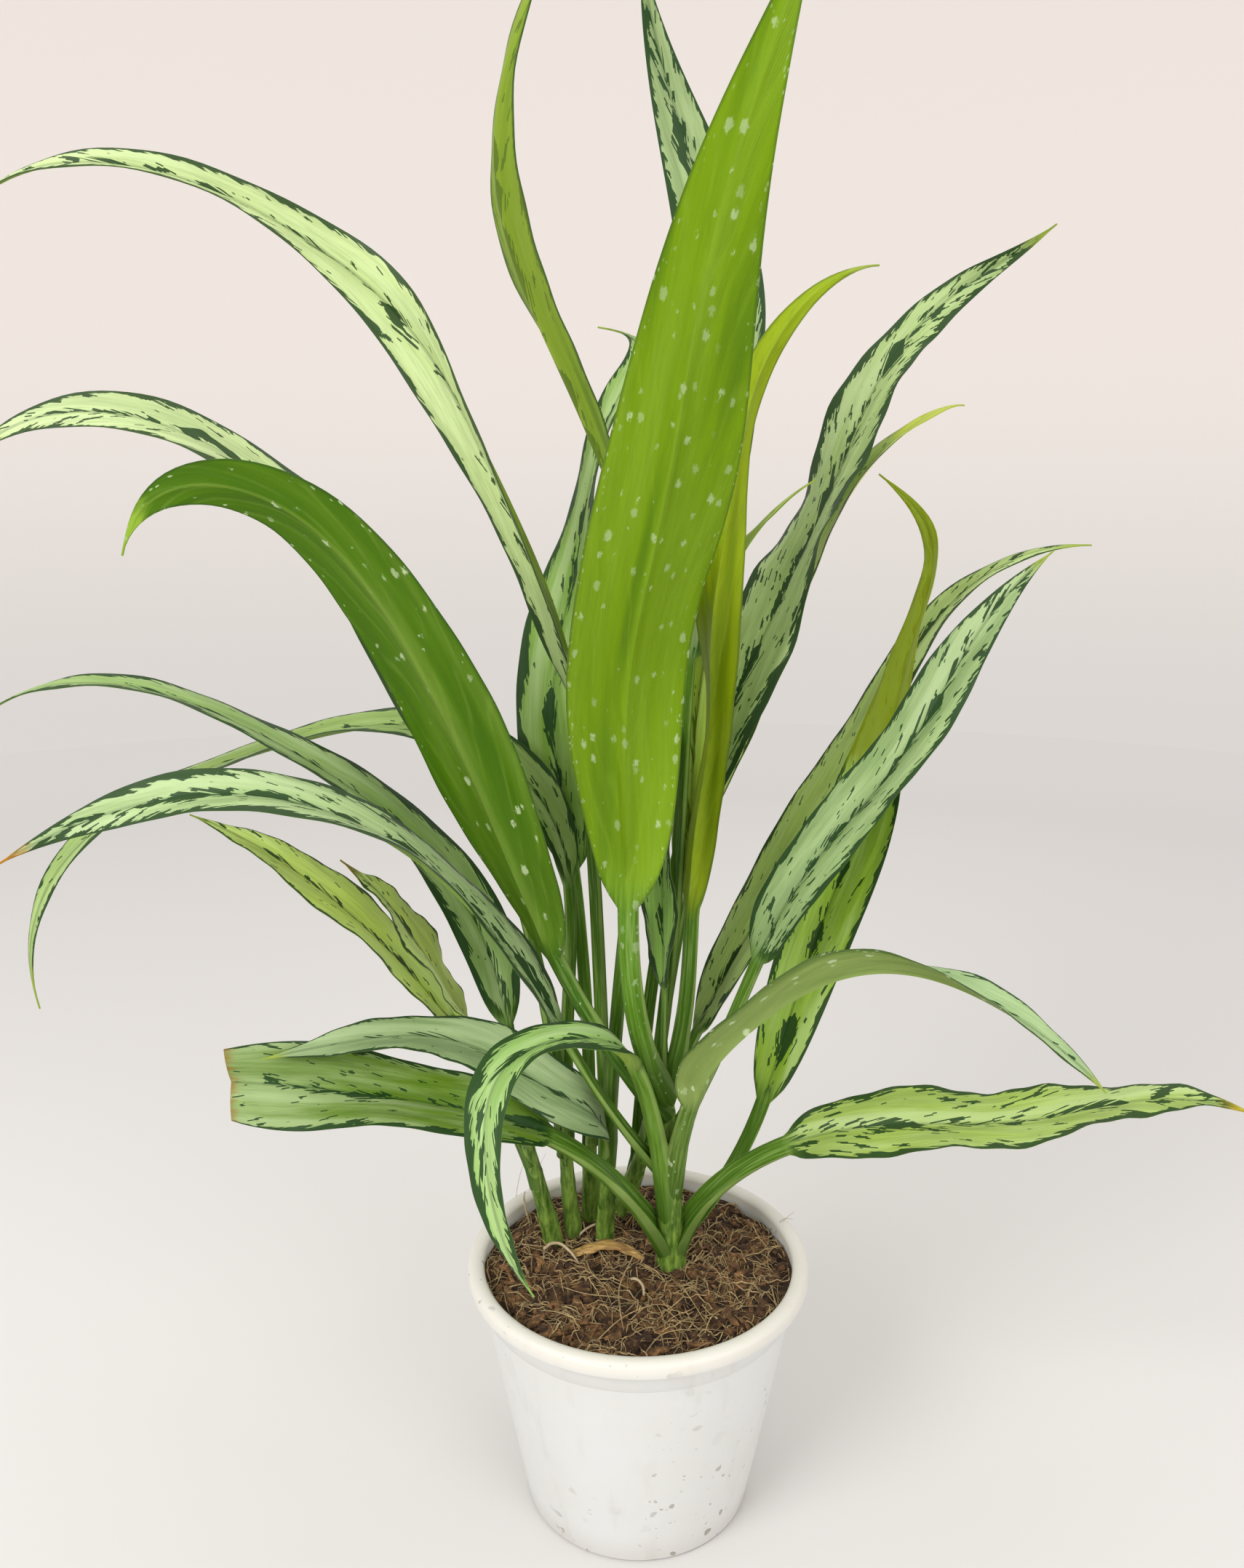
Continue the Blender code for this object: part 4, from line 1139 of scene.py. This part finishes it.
class AGLAONEMA_OT_stage(Operator):
    """Build the floor, the lights and the camera"""
    bl_idname = "aglaonema.stage"
    bl_label = "Build stage"

    def execute(self, context):
        settings = context.scene.aglaonema_stage
        profile = [(0.001, 0.0), (FLOOR_RADIUS, 0.0)]
        for index in range(1, COVE_STEPS + 1):
            turn = math.pi / 2 * index / COVE_STEPS
            out, up = COVE_RADIUS * math.sin(turn), COVE_RADIUS * (1 - math.cos(turn))
            profile.append((FLOOR_RADIUS + out, up))
        profile.append((FLOOR_RADIUS + COVE_RADIUS, WALL_TOP))
        material, w, shader = new_material("floor paper", 0.9, settings.floor[:])
        height = w.split(w.place())[2]
        coat(w, shader, w.mix(w.step(height, 0.0, 0.7), settings.floor[:], settings.wall[:]))
        for name, part in (("floor", profile[:WALL_START + 1]), ("wall", profile[WALL_START:])):
            builder = spun(part, STAGE_SIDES)
            bmesh.ops.reverse_faces(builder, faces=builder.faces)
            item = finished(name, to_mesh(builder, name, outward=False), [material])
            # The air lights the plant as the wall would, so light needn't bounce off the wall
            lit = name == "floor"
            item.visible_diffuse = item.visible_glossy = item.visible_transmission = lit
        self.light("key_light", (-0.85, -0.95, 1.05), (0, 0, 0.28), 0.8, 13.0)
        self.light("top_light", (0.2, 0.1, 1.8), (0, 0, 0.3), 1.2, 4.0)
        self.light("fill_light", (0.75, -1.1, 0.8), (0, 0, 0.28), 0.9, 6.0)
        world = bpy.data.worlds.new("studio air")
        world.use_nodes = True
        background = world.node_tree.nodes["Background"]
        background.inputs["Color"].default_value = (*settings.air, 1.0)
        context.scene.world = world
        camera = bpy.data.cameras.new("camera")
        camera.lens = settings.lens
        camera.clip_start = 0.01
        holder = linked("camera", camera)
        holder.location = settings.place
        holder.rotation_euler = (math.pi / 2 - settings.tilt, 0, 0)
        context.scene.camera = holder
        context.scene.view_settings.view_transform = "Standard"
        return {"FINISHED"}

    def light(self, name, place, target, size, power):
        lamp = bpy.data.lights.new(name, "AREA")
        lamp.shape = "DISK"
        lamp.size = size
        lamp.energy = power
        lamp.color = (1.0, 1.0, 0.99)
        holder = linked(name, lamp)
        holder.location = place
        holder.rotation_euler = (Vector(target) - Vector(place)).to_track_quat("-Z", "Y").to_euler()


class AGLAONEMA_OT_pot(Operator):
    """Build the white nursery pot with its rolled rim, step, foot and drain holes"""
    bl_idname = "aglaonema.pot"
    bl_label = "Build pot"

    def execute(self, context):
        settings = context.scene.aglaonema_pot
        mesh = turned("nursery_pot", pot_profile(settings.step_drop), settings.sides)
        pot = finished("nursery_pot", mesh, [pot_material(settings, speckle_group())], 30.0)
        cut(pot, drain_cutters())
        fitted(pot, "pot")
        return {"FINISHED"}


class AGLAONEMA_OT_soil(Operator):
    """Build the bed of coir that fills the pot"""
    bl_idname = "aglaonema.soil"
    bl_label = "Build soil"

    def execute(self, context):
        settings = context.scene.aglaonema_soil
        floor = FOOT_HEIGHT + WALL + GAP
        side = wall_radius(SOIL_LEVEL, WALL + GAP)
        profile = [(side * (i + 0.5) / SOIL_RINGS, SOIL_LEVEL) for i in range(SOIL_RINGS)]
        profile += [(side, SOIL_LEVEL), (wall_radius(40, WALL + GAP), 40.0)]
        profile.append((wall_radius(floor, WALL + 1.0), floor))
        mesh = turned("coir_bed", profile, SOIL_SIDES)
        # Height of the finer lumps, which the coir material reads to paint shade into the hollows
        relief = mesh.attributes.new("relief", "FLOAT", "POINT")
        for vertex in mesh.vertices:
            x, y, z = (value / MM for value in vertex.co)
            if z > SOIL_LEVEL - 1:
                inner = 1 - smoothstep(side - 3.0, side, math.hypot(x, y))
                lump = (coir_height(x, y) - soil_height(x, y)) * inner
                vertex.co.z = (soil_height(x, y) + lump) * MM
                relief.data[vertex.index].value = lump
        dark, light = settings.dark[:], settings.light[:]
        material = coir_material("coir bed", dark, light, 110.0, relief=True)
        fitted(finished("coir_bed", mesh, [material], 80.0), "soil")
        return {"FINISHED"}


class AGLAONEMA_OT_litter(Operator):
    """Scatter coir fibres, husk chips, crumbs, a dry sheath and roots over the soil"""
    bl_idname = "aglaonema.litter"
    bl_label = "Scatter litter"

    def execute(self, context):
        settings = context.scene.aglaonema_soil
        rng = random.Random(settings.seed)
        self.fibres(settings, rng)
        self.husks(settings, rng)
        self.crumbs(settings, rng)
        self.dry_sheath()
        self.roots()
        return {"FINISHED"}

    def fibres(self, settings, rng):
        tones = ((216, 186, 132), (174, 138, 86), (116, 86, 50), (72, 50, 30))
        materials = []
        for index, tone in enumerate(tones):
            dark = srgb(*(value * 0.75 for value in tone))
            name = f"coir fibre {index + 1}"
            materials.append(coir_material(name, dark, srgb(*tone), 300.0, 0.7))
        strands = [curled_fibre(rng) for index in range(settings.fibres)]
        # Long pale fibres that stand proud at the front, and four that poke over the rim: each
        # is points in x, y and rise over the soil, and its thickness
        for points, thick in (
            (((-2, -5, 7), (-7, -17, 4), (-7, -30, 3), (-5, -42, 0)), 0.3),
            (((-30, -12, 0), (-20, -20, 3), (-8, -24, 3), (4, -24, 0.5)), 0.24),
            (((-16, -44, 0), (-6, -34, 3), (6, -28, 3.4), (16, -27, 0.5)), 0.26),
            (((22, -44, 0), (26, -34, 2.6), (34, -26, 2.4), (40, -20, 0.5)), 0.24),
            (((-38, -26, 0), (-30, -32, 2.4), (-20, -36, 2.4), (-12, -34, 0.5)), 0.24),
            (((0, -52, 0), (8, -44, 2.4), (20, -40, 2.4), (30, -40, 0.5)), 0.22),
            (((15, -16, 3), (17, -21, 3), (21, -28, 2.5), (25, -38, 0)), 0.24),
            (((2, -14, 1), (3, -20, 3), (8, -30, 2), (10, -46, 0)), 0.22),
            (((-20, 3, 1), (-18, -8, 3), (-13, -16, 2), (-10, -24, 0)), 0.22),
            (((28, 8, 0), (27, -2, 3), (31, -12, 4), (28, -22, 1)), 0.22),
            (((50, 16, 0), (55, 19, 3), (59, 20, 9), (63, 21, 12)), 0.17),
            (((51, 24, 0), (56, 22, 4), (58, 18, 10), (62, 16, 11)), 0.15),
            (((-46, 34, 0), (-50, 38, 5), (-49, 42, 13), (-47, 43, 20)), 0.13),
            (((-40, 38, 0), (-44, 43, 6), (-42, 45, 14), (-38, 46, 22)), 0.11),
        ):
            strands.append(arc_through(points, 18, thick))
        fitted(tube_object("coir_fibres", strands, materials))

    def husks(self, settings, rng):
        """Chips of husk: six large ones, each with its spot, size and turn, and many small ones."""
        builder = bmesh.new()
        chips = [((-31, -22), (10, 6), 1.9), ((-30, -40), (12, 5), 0.3), ((7, -14), (12, 6), 2.4),
                 ((42, -12), (13, 5), 0.2), ((6, -49), (9, 3), 0.1), ((-48, -20), (8, 3), 2.0)]
        for index in range(settings.husks):
            spot = spot_on_soil(rng, 5.0, 2.5)
            size = (rng.uniform(3, 9), rng.uniform(1.2, 3.4))
            chips.append((spot, size, rng.uniform(0, math.pi)))
        for (x, y), (long, broad), turn in chips:
            thick = rng.uniform(0.6, 1.3)
            pitch = rng.gauss(0, 0.2)
            bow = rng.uniform(-0.1, 0.25)
            height = coir_height(x, y)
            rings = []
            for share in (-0.5, -0.3, 0.0, 0.3, 0.5):
                spread = 1 - 2.0 * share**2 * rng.uniform(0.5, 1.2)
                ring = []
                for left, top in CHIP_SECTION:
                    px = share * long * rng.uniform(0.85, 1.08)
                    py = left * broad * spread * rng.uniform(0.75, 1.2)
                    pz = top * thick * rng.uniform(0.6, 1.2) - bow * long * share**2
                    pz += px * math.sin(pitch) + thick * 0.5
                    wx = x + px * math.cos(turn) - py * math.sin(turn)
                    wy = y + px * math.sin(turn) + py * math.cos(turn)
                    ring.append((Vector((wx, wy, height + pz)),))
                rings.append(ring)
            extrude_rings(builder, rings)
        mesh = to_mesh(builder, "husk_chips")
        material = coir_material("coir husk", srgb(84, 58, 34), srgb(158, 116, 72), 300.0)
        fitted(finished("husk_chips", mesh, [material], 35.0))

    def crumbs(self, settings, rng):
        """Crumbs of pith, most of them small."""
        builder = bmesh.new()
        for index in range(settings.crumbs):
            large = index % 7 == 0
            x, y = spot_on_soil(rng, 3.0 if large else 1.5, 1.5 if large else 0.5)
            radius = rng.uniform(1.2, 2.4) if large else rng.uniform(0.35, 1.2)
            made = bmesh.ops.create_icosphere(
                builder, subdivisions=2 if large else 1, radius=radius * MM)
            flat = rng.uniform(0.45, 0.85)
            centre = Vector((x, y, coir_height(x, y) + radius * flat * 0.3)) * MM
            for vertex in made["verts"]:
                vertex.co.z *= flat
                vertex.co *= rng.uniform(0.72, 1.25)
                vertex.co += centre
        mesh = to_mesh(builder, "coir_crumbs")
        material = coir_material("coir crumb", srgb(44, 27, 16), srgb(110, 76, 46), 320.0)
        fitted(finished("coir_crumbs", mesh, [material], 30.0))

    def dry_sheath(self):
        """The dead sheath that lies arched in front of the left canes."""
        builder = bmesh.new()
        bmesh.ops.create_grid(builder, x_segments=30, y_segments=8, size=0.5)
        arch = on_soil(((-26, 7, 1.0), (-19, 8, 3.6), (-11, 9, 5.0), (-3, 7, 3.8), (4, 3, 0.2)))
        for vertex in builder.verts:
            share, column = vertex.co.x + 0.5, vertex.co.y * 2
            centre = smooth_point(arch, share)
            half = 4.2 * (1 - 0.45 * abs(2 * share - 1) ** 3) + 0.35 * math.sin(share * 31 + column)
            curl = column * 0.9
            centre.y += half * math.sin(curl) * 0.9
            centre.z += half * (math.cos(curl) - 1) * 0.9 + 0.25 * math.sin(column * 9 + share * 4)
            vertex.co = centre * MM
        bmesh.ops.solidify(builder, geom=builder.faces[:], thickness=0.25 * MM)
        mesh = to_mesh(builder, "dry_sheath")
        material, w, shader = new_material("dry sheath", 0.55, srgb(176, 140, 74))
        x, y, z, height = w.millimetres()
        thread = w.noise((x * 60.0, y * 900.0, z * 900.0), 1.0, 4.0, 0.6)
        colour = w.mix(w.step(thread, 0.3, 0.7), srgb(120, 84, 36), srgb(206, 170, 98))
        coat(w, shader, colour, thread * 0.5)
        fitted(finished("dry_sheath", mesh, [material], 50.0))

    def roots(self):
        """Pale roots that surface between the canes, and a dark twig at the rim."""
        pale = ((196, 178, 140), (150, 122, 84), (222, 206, 172))
        green = ((150, 160, 100), (120, 128, 76), (188, 192, 130))
        skins = [
            root_material("pale root", 0.6, *pale, 500.0),
            root_material("green root", 0.5, *green, 400.0),
            coir_material("dark twig", srgb(40, 26, 16), srgb(86, 56, 34), 400.0, 0.8),
        ]
        strands = []
        for points, thick, slot in (
            (((-24, 22, 0), (-20, 23, 2.5), (-14, 24, 4.5), (-11, 24.5, 7), (-8.5, 23, 9.5)),
             0.62, 0),
            (((-37, 12, 0), (-34, 11, 3), (-30, 7.5, 4.2), (-26, 4, 2.6), (-23, 2, 0)), 0.8, 1),
            (((-4, -9, 0), (-1, -11, 2.6), (1.5, -14, 3), (2, -17, 1), (2, -19, -0.6)), 0.7, 1),
            (((-44, 30, 0), (-45.5, 32, 5), (-46.5, 33.5, 10), (-46, 34, 13)), 0.5, 2),
        ):
            strands.append(arc_through(points, 22, thick, slot))
        fitted(tube_object("surface_roots", strands, skins))


def cane_ring(shoot, height, radius, number):
    """One ring of a cane, wrapped in sheaths whose free edges climb slantwise round it."""
    centre = cane_centre(shoot, height)
    ring = []
    for item in ring_of(centre, radius, CANE_SIDES, 0.04, number):
        arm = item[0] - centre
        turn = math.atan2(arm.y, arm.x)
        swell = lap_and_shadow = 0.0
        for start, climb in SHEATH_EDGES:
            edge = start + number * 1.7 + climb * (height - CANE_STRAIGHT)
            past = (turn - edge + math.pi) % (2 * math.pi) - math.pi
            past *= math.copysign(radius, climb)
            if 0 <= past < EDGE_FADE:
                swell = max(swell, 1 - past / EDGE_FADE)
                lap_and_shadow = max(lap_and_shadow, 1 - past / 1.2)
            # Just outside a free edge the value falls below zero, where the cane material paints a
            # shadow line
            elif -1.4 < past < 0 and lap_and_shadow == 0.0:
                lap_and_shadow = -1 - past / 1.4
        grow = 0.5 * swell * smoothstep(CANE_STRAIGHT, CANE_STRAIGHT + 5, height)
        point = centre + arm * (1 + grow / radius)
        ring.append((point, (0.0, 0.0, 0.0), (turn, height * MM, lap_and_shadow)))
    return ring


class AGLAONEMA_OT_canes(Operator):
    """Build the short canes with the sheaths of the leaves they carry"""
    bl_idname = "aglaonema.canes"
    bl_label = "Build canes"

    def execute(self, context):
        settings = context.scene.aglaonema_leaf
        skin = cane_material()
        for number, shoot in enumerate(SHOOTS):
            builder = leaf_builder()
            rings = []
            top = shoot.top[2]
            bottom = HOLE_FLOOR + GAP
            for index in range(CANE_RINGS + 1):
                height = bottom + (top - bottom) * index / CANE_RINGS
                taper = 1 - 0.45 * max(0.0, (height - CANE_STRAIGHT) / (top - CANE_STRAIGHT)) ** 0.8
                node = 0.06 * max(0.0, math.cos(height * 0.55 + number)) ** 6
                if top - height < 4:
                    taper *= 0.5 + 0.5 * (top - height) / 4
                rings.append(cane_ring(shoot, height, shoot.radius * (taper * 0.97 + node), number))
            extrude_rings(builder, rings)
            materials = [skin]
            for leaf in LEAVES:
                if leaf.shoot == shoot.name:
                    for face in builder.faces:
                        face.tag = True
                    sheath = [item for item in spine(leaf) if item.along <= leaf.sheath]
                    extrude_rings(builder, [leaf_section(leaf, item) for item in sheath])
                    for face in builder.faces:
                        if not face.tag:
                            face.material_index = len(materials)
                    materials.append(leaf_material(leaf, settings))
            name = f"cane_{shoot.name}"
            cane = finished(name, to_mesh(builder, name), materials)
            fitted(cane, f"shoot_{shoot.name}")
        return {"FINISHED"}


class AGLAONEMA_OT_leaves(Operator):
    """Build every leaf with its petiole, midrib and marked blade"""
    bl_idname = "aglaonema.leaves"
    bl_label = "Build leaves"

    def execute(self, context):
        settings = context.scene.aglaonema_leaf
        for leaf in LEAVES:
            frames = [item for item in spine(leaf) if item.along >= leaf.sheath]
            name = f"{leaf.name}_leaf"
            mesh = loft(name, [leaf_section(leaf, item) for item in frames])
            blade = finished(name, mesh, [leaf_material(leaf, settings)], 55.0)
            fitted(blade, f"leaf_{leaf.name}")
        return {"FINISHED"}


class AGLAONEMA_PT_panel(Panel):
    """Lists the steps that build the plant"""
    bl_label = "Potted aglaonema"
    bl_idname = "AGLAONEMA_PT_panel"
    bl_space_type = "VIEW_3D"
    bl_region_type = "UI"
    bl_category = "Aglaonema"

    def draw(self, context):
        for step in STEPS:
            self.layout.operator(f"aglaonema.{step}")
        for group in SETTINGS:
            box = self.layout.box()
            holder = getattr(context.scene, group)
            for name in holder.__annotations__:
                box.prop(holder, name)


STEPS = ("stage", "pot", "soil", "litter", "canes", "leaves")
SETTINGS = {
    "aglaonema_pot": PotSettings,
    "aglaonema_soil": SoilSettings,
    "aglaonema_leaf": LeafSettings,
    "aglaonema_stage": StageSettings,
}
CLASSES = (
    *SETTINGS.values(), AGLAONEMA_OT_stage, AGLAONEMA_OT_pot, AGLAONEMA_OT_soil,
    AGLAONEMA_OT_litter, AGLAONEMA_OT_canes, AGLAONEMA_OT_leaves, AGLAONEMA_PT_panel,
)


def register():
    for item in CLASSES:
        bpy.utils.register_class(item)
    for name, group in SETTINGS.items():
        setattr(bpy.types.Scene, name, PointerProperty(type=group))


def unregister():
    for name in SETTINGS:
        delattr(bpy.types.Scene, name)
    for item in reversed(CLASSES):
        bpy.utils.unregister_class(item)


def main():
    """Register the add-on and run its steps in order."""
    register()
    for step in STEPS:
        getattr(bpy.ops.aglaonema, step)()


if __name__ == "__main__":
    main()
